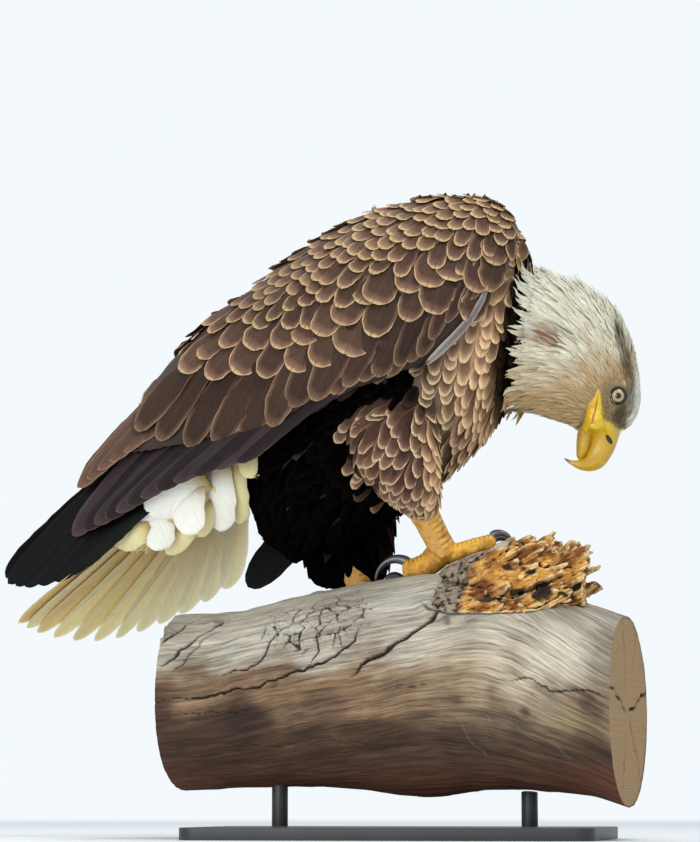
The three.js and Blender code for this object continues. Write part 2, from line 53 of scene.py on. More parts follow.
def linear(code):
    """An sRGB hex colour as linear RGBA."""
    shares = [int(code[i : i + 2], 16) / 255 for i in (1, 3, 5)]
    return tuple(c / 12.92 if c <= 0.04045 else ((c + 0.055) / 1.055) ** 2.4 for c in shares) + (1.0,)


def tone(code):
    """An sRGB hex colour as a linear RGB array."""
    return np.array(linear(code)[:3])


SIDE_NAMES = {-1: "right", 1: "left"}  # The bird's own sides, by the sign of Y.


# ---------------------------------------------------------------- arrays and curves
def grain(points, size, seed=0):
    """Smooth noise from -1 to 1, with features about `size` across."""
    place = np.asarray(points, float) / size + 31.7 * seed + 500.0
    cell = np.floor(place).astype(np.int64)
    share = place - cell
    share = share * share * (3 - 2 * share)
    total = 0.0
    for corner in np.ndindex(2, 2, 2):
        at = cell + corner
        key = (at[..., 0] * 73856093 ^ at[..., 1] * 19349663 ^ at[..., 2] * 83492791) & 0xFFFFFFFF
        key = ((key ^ key >> 16) * 0x45D9F3B) & 0xFFFFFFFF
        key = ((key ^ key >> 16) * 0x45D9F3B) & 0xFFFFFFFF
        weight = np.prod(np.where(corner, share, 1 - share), axis=-1)
        total = total + weight * ((key ^ key >> 16) % 65536 / 32767.5 - 1)
    return total


def layered(points, size, layers=3, seed=0):
    """Noise of several sizes, each half the last."""
    return sum(grain(points, size / 2**i, seed + i) / 2**i for i in range(layers))


def unit(v):
    return v / np.maximum(np.linalg.norm(v, axis=-1, keepdims=True), 1e-9)


def step(low, high, x):
    """0 below low, 1 above high, and smooth between."""
    t = np.clip((np.asarray(x, float) - low) / (high - low), 0, 1)
    return t * t * (3 - 2 * t)


def bell(x, width):
    """1 at 0, falling off smoothly to either side over the width."""
    return np.exp(-((x / width) ** 2))


def blend(a, b, share):
    """Colours between a and b, one for each share. They are arrays, hex codes or names of properties."""
    a, b = (c if not isinstance(c, str) else tone(c) if c[0] == "#" else tint_of(c) for c in (a, b))
    return a + (b - a) * np.asarray(share, float)[..., None]


def curve(points, shares):
    """A smooth curve through points, at shares of the way from the first to the last."""
    p = np.asarray(points, float)
    last = len(p) - 1
    at = np.clip(np.asarray(shares, float) * last, 0, last - 1e-9)
    i = at.astype(int)
    w = (at - i)[..., None]
    ends = np.vstack([2 * p[0] - p[1], p, 2 * p[-1] - p[-2]])
    a, b, c, d = ends[i], ends[i + 1], ends[i + 2], ends[i + 3]
    return b + 0.5 * w * (c - a + w * (2 * a - 5 * b + 4 * c - d + w * (3 * (b - c) + d - a)))


def opaque(colours):
    """Colours with an alpha of 1."""
    return np.c_[colours, np.ones(len(colours))]


def evenly(count):
    return np.linspace(0, 1, count)


def read_off(x, rows):
    """The second figure of rows of two, at places between their first ones."""
    return np.interp(x, *np.array(rows, float).T)


# ---------------------------------------------------------------- meshes
def in_scene(name, data):
    """A new object in the scene."""
    made = bpy.data.objects.new(name, data)
    bpy.context.scene.collection.objects.link(made)
    return made


def build(name, points, faces, fields=None, uv=None, sharp=None):
    """One mesh object from points in millimetres and arrays of like-sided faces."""
    faces = [np.asarray(f, np.int32) for f in faces if len(f)]
    loops = np.concatenate([f.ravel() for f in faces])
    sides = np.concatenate([np.full(len(f), f.shape[1], np.int32) for f in faces])
    mesh = bpy.data.meshes.new(name)
    mesh.vertices.add(len(points))
    mesh.vertices.foreach_set("co", (np.asarray(points) * MM).astype(np.float32).ravel())
    mesh.loops.add(len(loops))
    mesh.loops.foreach_set("vertex_index", loops)
    mesh.polygons.add(len(sides))
    mesh.polygons.foreach_set("loop_start", np.concatenate([[0], np.cumsum(sides)[:-1]]).astype(np.int32))
    mesh.update(calc_edges=True)
    mesh.shade_smooth()
    for key, values in (fields or {}).items():
        values = np.asarray(values, np.float32)
        kind = {1: "FLOAT", 3: "FLOAT_VECTOR", 4: "FLOAT_COLOR"}[1 if values.ndim == 1 else values.shape[1]]
        layer = mesh.attributes.new(key, kind, "POINT")
        part = {"FLOAT": "value", "FLOAT_VECTOR": "vector", "FLOAT_COLOR": "color"}[kind]
        layer.data.foreach_set(part, values.ravel())
    if uv is not None:
        layer = mesh.uv_layers.new(name="OFBake")
        layer.data.foreach_set("uv", np.asarray(uv, np.float32)[loops].ravel())
    if sharp:
        mesh.set_sharp_from_angle(angle=radians(sharp))
    return in_scene(name, mesh)


def strip_faces(rings, sides):
    """Quads between successive rings of points, numbered ring by ring."""
    ring = np.arange(rings - 1)[:, None] * sides
    side = np.arange(sides)[None, :]
    after = (side + 1) % sides
    quads = np.stack([ring + side, ring + after, ring + sides + after, ring + sides + side], -1)
    return quads.reshape(-1, 4)


def tube_mesh(rings):
    """Points and faces of a closed form from its rings, each end closed by a fan."""
    count, sides = rings.shape[:2]
    points = np.vstack([rings.reshape(-1, 3), rings[0].mean(0), rings[-1].mean(0)])
    side = np.arange(sides)
    after = (side + 1) % sides
    start = np.stack([np.full(sides, count * sides), after, side], -1)
    last = (count - 1) * sides
    end = np.stack([np.full(sides, count * sides + 1), last + side, last + after], -1)
    return points, [strip_faces(count, sides), np.vstack([start, end])]


def merged(forms):
    """Several (points, [quads, triangles]) forms as one."""
    points, quads, triangles, start = [], [], [], 0
    for place, faces in forms:
        points.append(place)
        for face in faces:
            if len(face):
                (quads if face.shape[1] == 4 else triangles).append(face + start)
        start += len(place)
    return np.vstack(points), [np.vstack(f) for f in (quads, triangles) if f]


def read(items, key, width=3, kind=float):
    """One figure of every item of a mesh, as rows."""
    values = np.empty(len(items) * width, kind)
    items.foreach_get(key, values)
    return values.reshape(-1, width)


def solid_of(name):
    """A CAD node's corners in millimetres and its triangles."""
    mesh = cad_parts[name].data
    mesh.calc_loop_triangles()
    return read(mesh.vertices, "co") / MM, read(mesh.loop_triangles, "vertices", 3, np.int32)


def tree_of(points, triangles):
    return BVHTree.FromPolygons(points.tolist(), triangles.tolist())


def place_piece(made, material, slot, *nodes):
    """Gives a piece its material and its body, and hides the CAD nodes that it stands for."""
    made.data.materials.append(material)
    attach(made, "root")
    if nodes:
        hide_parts(*nodes)
    return made


# ---------------------------------------------------------------- the head's frame
HEAD = {"at": (221, -4, 428), "pitch": 98.6, "turn": -4}
HEAD_FRAME = (
    Matrix.Translation(HEAD["at"])
    @ Matrix.Rotation(radians(HEAD["turn"]), 4, "Z")
    @ Matrix.Rotation(radians(HEAD["pitch"]), 4, "Y")
)
HEAD_TURN = np.array(HEAD_FRAME.to_3x3())


def on_head(points):
    """From the head's own frame, +X out along the bill and +Z to the crown, to the model's."""
    return np.asarray(points) @ HEAD_TURN.T + HEAD["at"]


def head_place(points):
    return (np.asarray(points) - HEAD["at"]) @ HEAD_TURN


# The left wing mirrors the right one, a little lifted and set back.
LEFT_WING = {"shoulder": (60, 0, 560), "lift": 1, "back": 5}


def to_left(points):
    flipped = np.asarray(points) * (1, -1, 1) - LEFT_WING["shoulder"]
    turn = np.array(Matrix.Rotation(radians(LEFT_WING["lift"]), 3, "Y"))
    return flipped @ turn.T + LEFT_WING["shoulder"] - np.array([LEFT_WING["back"], 0, 0])


# ---------------------------------------------------------------- how the coat lies
# Rows of x, z, the way the feathers point (degrees from +X towards +Z), their spacing and their length.
LIE = {
    "neck": [
        (239, 438, 92, 2.6, 9), (226, 506, 118, 3.6, 16), (206, 533, 142, 4.6, 26), (178, 548, 160, 5.6, 36),
        (150, 558, 172, 6.2, 44), (124, 573, 178, 6.4, 46), (218, 430, 98, 2.1, 6), (210, 460, 118, 3.4, 14),
        (190, 520, 146, 5.0, 30), (190, 480, 138, 4.6, 24), (170, 500, 156, 5.6, 36), (150, 520, 164, 6.2, 44),
        (135, 505, 168, 6.2, 46), (190, 430, 128, 3.0, 12), (170, 450, 156, 4.6, 24), (150, 470, 172, 5.8, 38),
        (132, 470, 176, 6.2, 44), (150, 440, 178, 5.4, 32), (128, 445, 186, 6.2, 42), (205, 412, 120, 2.0, 5),
        (183, 396, 160, 2.6, 8), (162, 405, 172, 4.0, 18), (134, 415, 180, 5.4, 32), (114, 420, 188, 6.0, 40),
    ],
    "body": [
        (125, 565, 200, 10, 28), (60, 620, 192, 12, 34), (0, 620, 194, 12, 36), (-100, 560, 206, 13, 38),
        (-160, 480, 216, 14, 42), (124, 490, 262, 9, 26), (116, 440, 244, 9, 27), (100, 400, 232, 9, 28),
        (70, 370, 226, 9.5, 30), (60, 420, 254, 10.5, 30), (60, 470, 262, 11, 30), (20, 380, 232, 10, 34),
        (-20, 330, 214, 10, 38), (-90, 320, 222, 11, 42), (-90, 290, 238, 11, 48), (-140, 340, 250, 12, 52),
        (-150, 420, 232, 13, 46),
    ],
    "thigh_right": [
        (45, 440, 232, 12, 40), (0, 415, 224, 13, 46), (-40, 405, 220, 13, 44), (-35, 375, 228, 12, 38),
        (-10, 370, 238, 12, 36), (20, 380, 248, 11, 32), (45, 390, 262, 10, 30), (50, 350, 268, 10, 30),
        (25, 340, 258, 10.5, 32), (0, 345, 244, 11, 34), (35, 318, 268, 8, 22),
    ],
    "thigh_left": [
        (0, 420, 232, 13, 44), (-80, 400, 236, 13, 48), (-90, 340, 248, 12, 50), (-30, 340, 258, 11, 42),
        (-60, 290, 262, 10, 40), (-60, 262, 264, 8, 26),
    ],
    "rump": [
        (-150, 400, 238, 22, 64), (-140, 340, 264, 20, 58), (-200, 340, 238, 21, 60), (-200, 380, 226, 22, 66),
        (-250, 310, 228, 19, 56), (-280, 300, 222, 17, 50),
    ],
    "wing": [
        (119, 585, 262, 9.5, 26), (94, 606, 240, 10.5, 26), (84, 558, 256, 15, 36), (54, 590, 242, 11.5, 27),
        (60, 625, 214, 11, 26), (14, 592, 230, 12, 27), (0, 622, 204, 11, 28), (-36, 580, 225, 12, 27),
        (-86, 545, 221, 12.5, 28), (-136, 505, 219, 14, 32), (-170, 470, 222, 17, 42), (44, 530, 256, 19, 42),
        (100, 530, 256, 15, 38), (-6, 515, 247, 19, 42), (-56, 505, 243, 19, 42), (-106, 488, 238, 21, 48),
        (-146, 472, 234, 23, 52), (-200, 455, 226, 19, 50), (-60, 606, 207, 12, 32), (-130, 560, 210, 13, 36),
        (-200, 500, 218, 15, 42), (-240, 450, 224, 16, 44), (0, 450, 246, 18, 60), (-100, 410, 243, 18, 70),
        (-200, 400, 234, 18, 70), (50, 480, 246, 18, 60), (80, 500, 236, 18, 60), (100, 520, 236, 18, 60),
    ],
}


def lie_at(region, points):
    """The way of the lie, before it is laid on the surface, and the spacing and length, at points."""
    rows = np.array(LIE[region], float)
    aims = np.radians(rows[:, 2])
    ways = np.stack([np.cos(aims), np.sin(aims)], -1)
    apart = (points[:, None, 0] - rows[None, :, 0]) ** 2 + (points[:, None, 2] - rows[None, :, 1]) ** 2
    weight = 1 / (apart + 12.0**2) ** 2
    weight /= weight.sum(1, keepdims=True)
    way = weight @ ways
    sizes = weight @ rows[:, 3:]
    return np.stack([way[:, 0], np.zeros(len(way)), way[:, 1]], -1), sizes[:, 0], sizes[:, 1]


TRIES = 26  # Places tried for every root that fits.


class Skin:
    """The flesh's surface: its points, triangles, normals, unwrap, regions and the coat's depth over it."""

    def __init__(self, points, triangles, normals, uv, regions, depth):
        self.points, self.triangles, self.normals = points, triangles, normals
        self.uv, self.regions, self.depth = uv, regions, depth
        self.tree = tree_of(points, triangles)
        corners = points[triangles]
        across = np.cross(corners[:, 1] - corners[:, 0], corners[:, 2] - corners[:, 0])
        self.area = np.linalg.norm(across, axis=1) / 2

    def nearest(self, points):
        """The nearest places on the skin, with their smooth normals and triangles."""
        places, faces = np.empty((len(points), 3)), np.empty(len(points), int)
        for i, point in enumerate(points.tolist()):
            place, _, face, _ = self.tree.find_nearest(point)
            places[i], faces[i] = place, face
        return places, self.normal_at(places, faces), faces

    def weights(self, places, faces):
        a, b, c = (self.points[self.triangles[faces, k]] for k in range(3))
        total = np.cross(b - a, c - a)
        size = np.maximum((total**2).sum(1), 1e-12)
        u = (np.cross(c - b, places - b) * total).sum(1) / size
        v = (np.cross(a - c, places - c) * total).sum(1) / size
        return np.stack([u, v, 1 - u - v], -1)

    def normal_at(self, places, faces):
        share = self.weights(places, faces)
        return unit((self.normals[self.triangles[faces]] * share[..., None]).sum(1))

    def uv_at(self, places, faces):
        return (self.uv[faces] * self.weights(places, faces)[..., None]).sum(1)

    def scatter(self, chosen, spacing_at, rng):
        """Roots on the chosen triangles, kept at least their spacing apart."""
        faces = np.flatnonzero(chosen)
        middle = self.points[self.triangles[faces]].mean(1)
        odds = self.area[faces] / spacing_at(middle) ** 2
        wanted = odds.sum() * TRIES
        picked = faces[rng.choice(len(faces), int(wanted), p=odds / odds.sum())]
        u, v = rng.random((2, len(picked)))
        fold = u + v > 1
        u[fold], v[fold] = 1 - u[fold], 1 - v[fold]
        corners = self.points[self.triangles[picked]]
        places = corners[:, 0] + u[:, None] * (corners[:, 1] - corners[:, 0]) + v[:,
            None] * (corners[:, 2] - corners[:, 0])
        spaces = spacing_at(places)
        cell = spaces.max()
        cells = np.floor(places / cell).astype(int)
        kept, grid = [], {}
        around = [(i, j, k) for i in (-1, 0, 1) for j in (-1, 0, 1) for k in (-1, 0, 1)]
        listed = places.tolist()
        for i, (at, space) in enumerate(zip(cells.tolist(), spaces.tolist())):
            x, y, z = listed[i]
            limit = space * space
            for dx, dy, dz in around:
                near = grid.get((at[0] + dx, at[1] + dy, at[2] + dz))
                if near and any((x - a) ** 2 + (y - b) ** 2 + (z - c) ** 2 < limit for a, b, c in near):
                    break
            else:
                grid.setdefault(tuple(at), []).append((x, y, z))
                kept.append(i)
        return places[kept], picked[kept]


def comb(skin, region, starts, lengths, shares, back=False, twist=None):
    """Lines along the skin from each start, following the lie: points and normals at the shares."""
    place, normal, _ = skin.nearest(starts)
    line, normals = [place], [normal]
    way = None
    steps = list(zip(shares[:-1], shares[1:]))
    for before, after in steps[::-1] if back else steps:
        aim = lie_at(region, place)[0]
        if twist is not None:
            aim = aim + twist
        aim = aim - (aim * normal).sum(1, keepdims=True) * normal
        aim = unit(aim) if way is None else unit(unit(aim) + way)
        way = aim
        stride = (lengths * (after - before))[:, None] * (-1 if back else 1)
        place, normal, _ = skin.nearest(place + aim * stride)
        line.append(place)
        normals.append(normal)
    if back:
        line.reverse()
        normals.reverse()
    return np.stack(line, 1), np.stack(normals, 1)


# ---------------------------------------------------------------- feathers
# A style is its stations across and along, where the tip begins, how the tip rounds, and the root's width.
STYLES = {"hackle": {"across": (-1, 0, 1), "under": 1, "along": (0, 0.2, 0.42, 0.62, 0.78, 0.9, 1), "tip": 0.35,
    "round": (1.5, 1.15), "root": 0.5}, "contour": {"across": (-1, -0.72, -0.3, 0.3, 0.72, 1), "under": 1,
    "along": (0, 0.25, 0.45, 0.6, 0.72, 0.82, 0.9, 0.96, 1), "tip": 0.5, "round": (2, 2), "root": 0.45},
    "covert": {"across": (-1, -0.85, -0.55, -0.12, 0.12, 0.55, 0.85, 1), "under": 1,
    "along": (0, 0.2, 0.36, 0.5, 0.62, 0.72, 0.8, 0.87, 0.925, 0.965, 0.99, 1), "tip": 0.62, "round": (2.2, 2.2),
    "root": 0.5}, "quill": {"across": (-1, -0.9, -0.6, -0.3, -0.06, 0, 0.06, 0.3, 0.6, 0.9, 1), "under": 3,
    "along": tuple(1 - (1 - evenly(30)) ** 1.35), "tip": 0.84, "round": (2, 2), "root": 0.4},}


def outline(style, shares):
    """A feather's half-width along its length, as a share of its widest."""
    shares = np.asarray(shares, float)
    power, root_of = style["round"]
    toward = np.clip((shares - style["tip"]) / (1 - style["tip"]), 0, 1)
    tip = np.maximum(1 - toward**power, 0.0) ** (1 / root_of)
    base = style["root"] + (1 - style["root"]) * np.clip(shares / (style["tip"] * 0.8), 0, 1) ** 0.8
    return np.maximum(np.minimum(tip, 1) * base, 0.03)


LARGE_PATCH = 9  # Millimetres of the skin's unwrap that a large feather takes.


class Plumage:
    """Feathers of one style gathered into one piece, rooted on the skin."""

    def __init__(self, style, skin, rng):
        self.style, self.skin, self.rng = STYLES[style], skin, rng
        self.shares = np.array(self.style["along"])
        self.points, self.tints, self.rims, self.vanes, self.uv = [], [], [], [], []

    def add(self, lines, normals, half, tint, rim, rim_width, camber=0.25, roll=0.12, thick=0.5, ragged=0.06,
            base=None, reach=0.5, at=None, patch=None):
        """Feathers along lines (count, stations, 3). Tint, rim and base are a colour for all or for each; towards the
        root the tint turns to base, which is painted shade under overlapping feathers for most and the tan of the
        tail's roots for the tail. `at` gives the roots' places and triangles on the skin, `patch` their size on its
        unwrap."""
        style, shares, skin, rng = self.style, self.shares, self.skin, self.rng
        across = np.array(style["across"], float)
        count = len(lines)
        tint, rim = (np.broadcast_to(c, (count, 3)) for c in (tint, rim))
        roots, faces = at or skin.nearest(lines[:, 0])[::2]
        patch = LARGE_PATCH * uv_scale(skin) if patch is None else patch
        way = unit(np.gradient(lines, axis=1))
        side = unit(np.cross(way, normals))
        up = np.cross(side, way)
        lean = rng.normal(0, roll, (count, 1, 1))
        side, up = side * np.cos(lean) + up * np.sin(lean), up * np.cos(lean) - side * np.sin(lean)
        half = np.broadcast_to(np.asarray(half, float), (count,))
        width = half[:, None] * outline(style, shares)[None, :]
        width = width * (1 + rng.normal(0, ragged, width.shape) * (shares > 0.3))
        length = np.linalg.norm(np.diff(lines, axis=1), axis=2).sum(1)
        shift = rng.normal(0, ragged * 0.5, (count, len(shares), len(across))) * half[:, None,
            None] * (shares > 0.5)[None, :, None]
        rows = lines[:, :, None, :] + side[:, :, None, :] * (width[:, :, None] * across)[..., None]
        rows = rows - up[:, :, None, :] * (camber * width[:, :, None] * across**2)[..., None]
        rows = rows + way[:, :, None, :] * shift[..., None]
        crown = up[:, :, None, :] * (thick * (1 - across**2))[None, None, :, None]
        under_at = np.linspace(1, -1, style["under"] + 2)[1:-1]
        below = lines[:, :, None, :] + side[:, :, None, :] * (width[:, :, None] * under_at)[..., None]
        below = below - up[:, :, None, :] * (camber * width[:, :, None] * under_at**2 + 0.35 * thick)[..., None]
        ring = np.concatenate([rows + crown, below], 2)
        self.points.append(ring.reshape(count, -1, 3))
        spread = np.concatenate([across, under_at])
        from_side = width[:, :, None] * (1 - np.abs(spread))
        from_tip = (length[:, None] * (1 - shares))[:, :, None] + 0 * from_side
        bias = 0.2 + 2.0 * step(0.8, 0.5, shares)[None, :, None]
        depth = np.minimum(from_side * 1.3 + bias, from_tip * 0.6)
        offset = width[:, :, None] * spread
        along = np.broadcast_to((length[:, None] * shares)[:, :, None], offset.shape)
        self.vanes.append(np.stack([offset, along, depth], -1).reshape(count, -1, 3))
        size = offset.shape[1] * offset.shape[2]
        tints = np.repeat(np.c_[tint, rng.random(count)][:, None], size, 1)
        # Towards the root the tint blends to base: painted shade for most feathers.
        if base is not None:
            near = np.repeat(step(reach, 0.0, shares), offset.shape[2])
            tints[..., :3] = blend(tints[..., :3], np.broadcast_to(base, (count, 3))[:, None], near[None, :])
        self.tints.append(tints)
        self.rims.append(np.repeat(np.c_[rim, np.broadcast_to(rim_width, (count,))][:, None], size, 1))
        u = spread[None, None, :] * 0.5 * np.ones_like(offset)
        v = (shares - 0.5)[None, :, None] * np.ones_like(offset)
        patch = np.broadcast_to(np.asarray(patch, float), (count,))[:, None, None, None]
        uv = skin.uv_at(roots, faces)[:, None, None, :] + np.stack([u, v], -1) * patch
        self.uv.append(uv.reshape(count, -1, 2))

    def make(self, name):
        points = np.concatenate(self.points)
        count, size = points.shape[:2]
        sides = len(self.style["across"]) + self.style["under"]
        stations = size // sides
        flat = strip_faces(stations, sides)
        fan = np.array([(0, i, i + 1) for i in range(1, sides - 1)])
        caps = np.vstack([fan, (fan + (stations - 1) * sides)[:, ::-1]])
        start = (np.arange(count) * size)[:, None, None]
        faces = [(start + flat[None, :, ::-1]).reshape(-1, 4), (start + caps[None]).reshape(-1, 3)]
        fields = {
            "Vane": np.concatenate(self.vanes).reshape(-1, 3),
            "Tint": np.concatenate(self.tints).reshape(-1, 4),
            "Rim": np.concatenate(self.rims).reshape(-1, 4),
        }
        uv = np.concatenate(self.uv).reshape(-1, 2)
        return build(name, points.reshape(-1, 3), faces, fields, uv, sharp=70)


# ---------------------------------------------------------------- markings
def tint_of(name):
    """A colour of the property groups, as linear RGB."""
    groups = [getattr(bpy.context.scene, group) for group in ("eagle_plumage", "eagle_bare", "eagle_perch")]
    return np.array(next(getattr(group, name) for group in groups if hasattr(group, name)))


# Dark streak over the brow and back along the side of the head, in the head's frame (x, z).
BROW_STREAK = [(21, 0), (8, 10), (-7, 9.5), (-21, 6.6), (-34, 2), (-47, -3), (-60, -8), (-70, -11)]


def head_marks(points):
    """Colours of the head and neck at points. The crown's brighter white is painted light from above, the tan of the
    lower throat and cheek is partly painted shade, and a brown patch on the neck's right side is the painted shade of
    a recess between hackles.
    """
    place = head_place(points)
    x, y, z = place.T
    away = np.hypot(x - 25, z + 10)
    mottle = layered(points, 7, 2, 3)
    high = points[:, 2] + 14 * layered(points, 16, 2, 5) + 0.25 * (150 - points[:, 0])
    # Painted shade: the lower throat and the cheek below the eye are tinted tan, as in shadow under the head; the
    # mottle and the streaks below are the feathers' own tan.
    low = step(486, 418, high) * np.maximum(step(13, 3, z), step(-40, -70, x))
    low = np.maximum(low, 0.26 * step(60, 42, away) * step(8, -2, z))
    # Painted light: the top of the head turns a cooler, brighter white, as lit from above.
    colour = blend("white", "crown", 0.5 * step(-14, 14, z) * step(70, 40, away))
    colour = blend(colour, "tan", np.clip(low * 0.9 + 0.16 * step(570, 500, high) * step(16, 6, z) + 0.16 * mottle,
        0, 0.95))
    streaks = step(0.25, 0.8, grain(points * (0.35, 1, 1), 6, 21)) * step(60, 90, away) * step(540, 500, points[:, 2])
    colour = blend(colour, tint_of("tan") * 0.8, 0.45 * streaks)
    # Painted shade: a brown patch on the neck's right side stands for a shadowed recess between the hackles.
    stain = np.exp(-(((points[:, 0] - 150) / 17) ** 2) - ((points[:, 2] - 487) / 9) ** 2) * (points[:, 1] < 0)
    colour = blend(colour, "stain", np.clip(1.0 * stain, 0, 1))
    crownward = np.where(z > -1, 1.9, 1.15)
    round_eye = step(25, 13, np.hypot((x - 5) * 0.9, (z + 1) * crownward) + 4 * mottle) * step(7, 14, np.abs(y))
    colour = blend(colour, "skin_grey", 0.85 * round_eye)
    ahead = step(12, 4, np.hypot((x - 20) * 0.55, (z - 4) * 1.7) + 2 * mottle) * step(4, 9, np.abs(y))
    colour = blend(colour, "streak", 0.75 * ahead)
    line = curve(BROW_STREAK, evenly(40))
    near = np.sqrt(((place[:, None, [0, 2]] - line[None]) ** 2).sum(-1)).min(1)
    dark = step(6.5, 2.5, near + 1.6 * mottle) * step(8, 15, np.abs(y))
    colour = blend(colour, "streak", dark * (0.72 + 0.28 * grain(points, 5, 9)))
    return colour


def body_marks(points):
    """Colours of the trunk and legs at points. Paler towards the front of the breast, partly painted light; near
    black as painted shadow under the wing, over the belly and in a band at the base of the neck.
    """
    x, _, z = points.T
    mottle = layered(points, 22, 3, 11)
    # Partly painted light: paler where the breast's front faces the light.
    colour = blend("brown", "breast", step(40, 100, x))
    # Painted shadow: the belly and the flank under the wing go near black over their dark brown.
    under = step(42, 14, x + 8 * mottle) * step(462, 436, z - 0.25 * x)
    colour = blend(colour, "belly", 0.995 * under)
    # Painted shadow: a near black band at the base of the neck, under the tips of the hackles.
    band = step(-10, 6, x - 97 - 0.19 * (z - 440) + 5 * mottle) * step(566, 545, z) * step(395, 415, z)
    return blend(colour, "belly", 0.98 * band)


def wing_marks(points):
    """Colours of the folded wing's coverts at points."""
    mottle = layered(points, 26, 3, 17)
    high = step(520, 600, points[:, 2] + 0.28 * points[:, 0] * -1)
    # Paler towards the top of the wing: the small coverts' own colour, partly painted light from above.
    colour = blend("wing", "shoulder", np.clip(0.75 * high + 0.25 * mottle, 0, 1))
    return colour


# ---------------------------------------------------------------- the skin
FLESH = ("trunk", "neck", "head", "rump", "thigh_right", "thigh_left", "wing_right_coverts")
COAT_DEPTH = {
    "trunk": 5, "neck": 6, "head": 2.2, "rump": 7, "thigh_right": 4.5, "thigh_left": 5,
    "wing_right_coverts": 2.4, "wing_left_coverts": 2.4, "saddle": 4, "eyes": 2,
}
# The back between the folded wings: x, half the width, and the height of the wings' upper edges.
BACK_LINE = [
    (112, 46, 604), (92, 54, 616), (62, 52, 627), (-4, 44, 620), (-58, 34, 604), (-108, 26, 576),
    (-158, 20, 542), (-206, 16, 507), (-246, 13, 466), (-266, 11, 436),
]


def saddle():
    """Fills the groove over the back, between the two wings."""
    rows = curve(BACK_LINE, evenly(28))
    shape = [(1.25, -12), (0.6, 1), (0, 3), (-0.6, 1), (-1.25, -12), (-0.8, -56), (0.8, -56)]
    rings = np.array([[(x, w * half, z + h) for w, h in shape] for x, half, z in rows])
    return tube_mesh(rings)


def ball(centre, radius, sides=24, rings=16, squash=(1, 1, 1)):
    polar = pi * (np.arange(1, rings) / rings)
    around = 2 * pi * np.arange(sides) / sides
    out = np.sin(polar)[:, None]
    shape = np.stack([out * np.cos(around), out * np.sin(around), np.cos(polar)[:, None] + 0 * out * around], -1)
    points, faces = tube_mesh(shape)
    points[-2], points[-1] = (0, 0, 1), (0, 0, -1)
    return points * radius * np.array(squash) + centre, faces


def triangles_of(faces):
    quads = [f for f in faces if f.shape[1] == 4]
    threes = [f for f in faces if f.shape[1] == 3]
    return np.vstack([*threes, *[f[:, [0, 1, 2]] for f in quads], *[f[:, [0, 2, 3]] for f in quads]])


def edges_of(triangles):
    return np.vstack([triangles[:, pair] for pair in ([0, 1], [1, 2], [2, 0])])


def raised(name, points, triangles, voxel, passes):
    """One closed surface round everything given, remeshed and smoothed."""
    rough = build(name, points, [triangles])
    remesh = rough.modifiers.new("One surface", "REMESH")
    remesh.mode, remesh.voxel_size = "VOXEL", voxel * MM
    smooth = rough.modifiers.new("Smooth", "SMOOTH")
    smooth.factor, smooth.iterations = 0.5, passes
    shown = rough.evaluated_get(bpy.context.evaluated_depsgraph_get())
    mesh = bpy.data.meshes.new_from_object(shown)
    bpy.data.objects.remove(rough)
    return mesh


def mesh_arrays(mesh):
    """Points in millimetres, normals and triangles."""
    mesh.calc_loop_triangles()
    corners = read(mesh.loop_triangles, "vertices", 3, np.int32)
    return read(mesh.vertices, "co") / MM, unit(read(mesh.vertices, "normal")), corners


def resurfaced(points, triangles, voxel, passes):
    """One closed surface round everything given, as points, normals and triangles."""
    mesh = raised("rough", points, triangles, voxel, passes)
    arrays = mesh_arrays(mesh)
    bpy.data.meshes.remove(mesh)
    return arrays


def make_flesh(voxel):
    """The skin's mesh and what the feathers need to know of it."""
    forms, owners = [], []
    for node in FLESH:
        points, triangles = solid_of(node)
        forms.append((points, [triangles]))
        owners.append((node, len(triangles)))
    points, triangles = solid_of("wing_right_coverts")
    forms.append((to_left(points), [triangles[:, ::-1]]))
    owners.append(("wing_left_coverts", len(triangles)))
    back, faces = saddle()
    forms.append((back, [triangles_of(faces)]))
    owners.append(("saddle", len(forms[-1][1][0])))
    for side in ("right", "left"):
        points, triangles = solid_of("eye_" + side)
        forms.append((points, [triangles]))
        owners.append(("eyes", len(triangles)))
    points, (triangles,) = merged(forms)
    owner_of = np.repeat(np.arange(len(owners)), [n for _, n in owners])
    names = np.array([name for name, _ in owners])
    tree = tree_of(points, triangles)
    mesh = raised("flesh", points, triangles, voxel, 14)
    places, normals, corners = mesh_arrays(mesh)
    found = np.array([tree.find_nearest(p)[2] for p in places.tolist()])
    region = names[owner_of[found]]
    depth = np.array([COAT_DEPTH[name] for name in region])
    away = np.hypot(*(head_place(places)[:, [0, 2]] - (25, -10)).T)
    on_neck = np.isin(region, ("neck", "head"))
    depth = np.where(on_neck, np.interp(away, [0, 40, 80, 125], [1.2, 2.2, 4.5, 6.5]), depth)
    place = head_place(places)
    bare = on_neck & (in_gape(place) | (place[:, 0] > read_off(place[:, 2], GAPE["cere"])))
    depth = np.where(bare, np.interp(place[:, 0], [10, 26], [4.0, 9.0]), depth)
    count = len(places)
    edges = edges_of(corners)
    share = np.bincount(edges[:, 0], minlength=count) + 1.0
    for _ in range(8):
        depth = (depth + np.bincount(edges[:, 0], depth[edges[:, 1]], count)) / share
    places = places - normals * depth[:, None]
    mesh.vertices.foreach_set("co", (places * MM).astype(np.float32).ravel())
    mesh.update()
    return mesh, places, normals, corners, region, depth


def unwrap(made):
    """The skin's own unwrap, as OFBake: (polygon corners, 2)."""
    mesh = made.data
    mesh.uv_layers.new(name="OFBake")
    bpy.context.view_layer.objects.active = made
    made.select_set(True)
    bpy.ops.object.mode_set(mode="EDIT")
    bpy.ops.mesh.select_all(action="SELECT")
    bpy.ops.uv.smart_project(angle_limit=radians(66), island_margin=0.002)
    bpy.ops.object.mode_set(mode="OBJECT")
    made.select_set(False)
    return read(mesh.uv_layers["OFBake"].data, "uv", 2, np.float32)


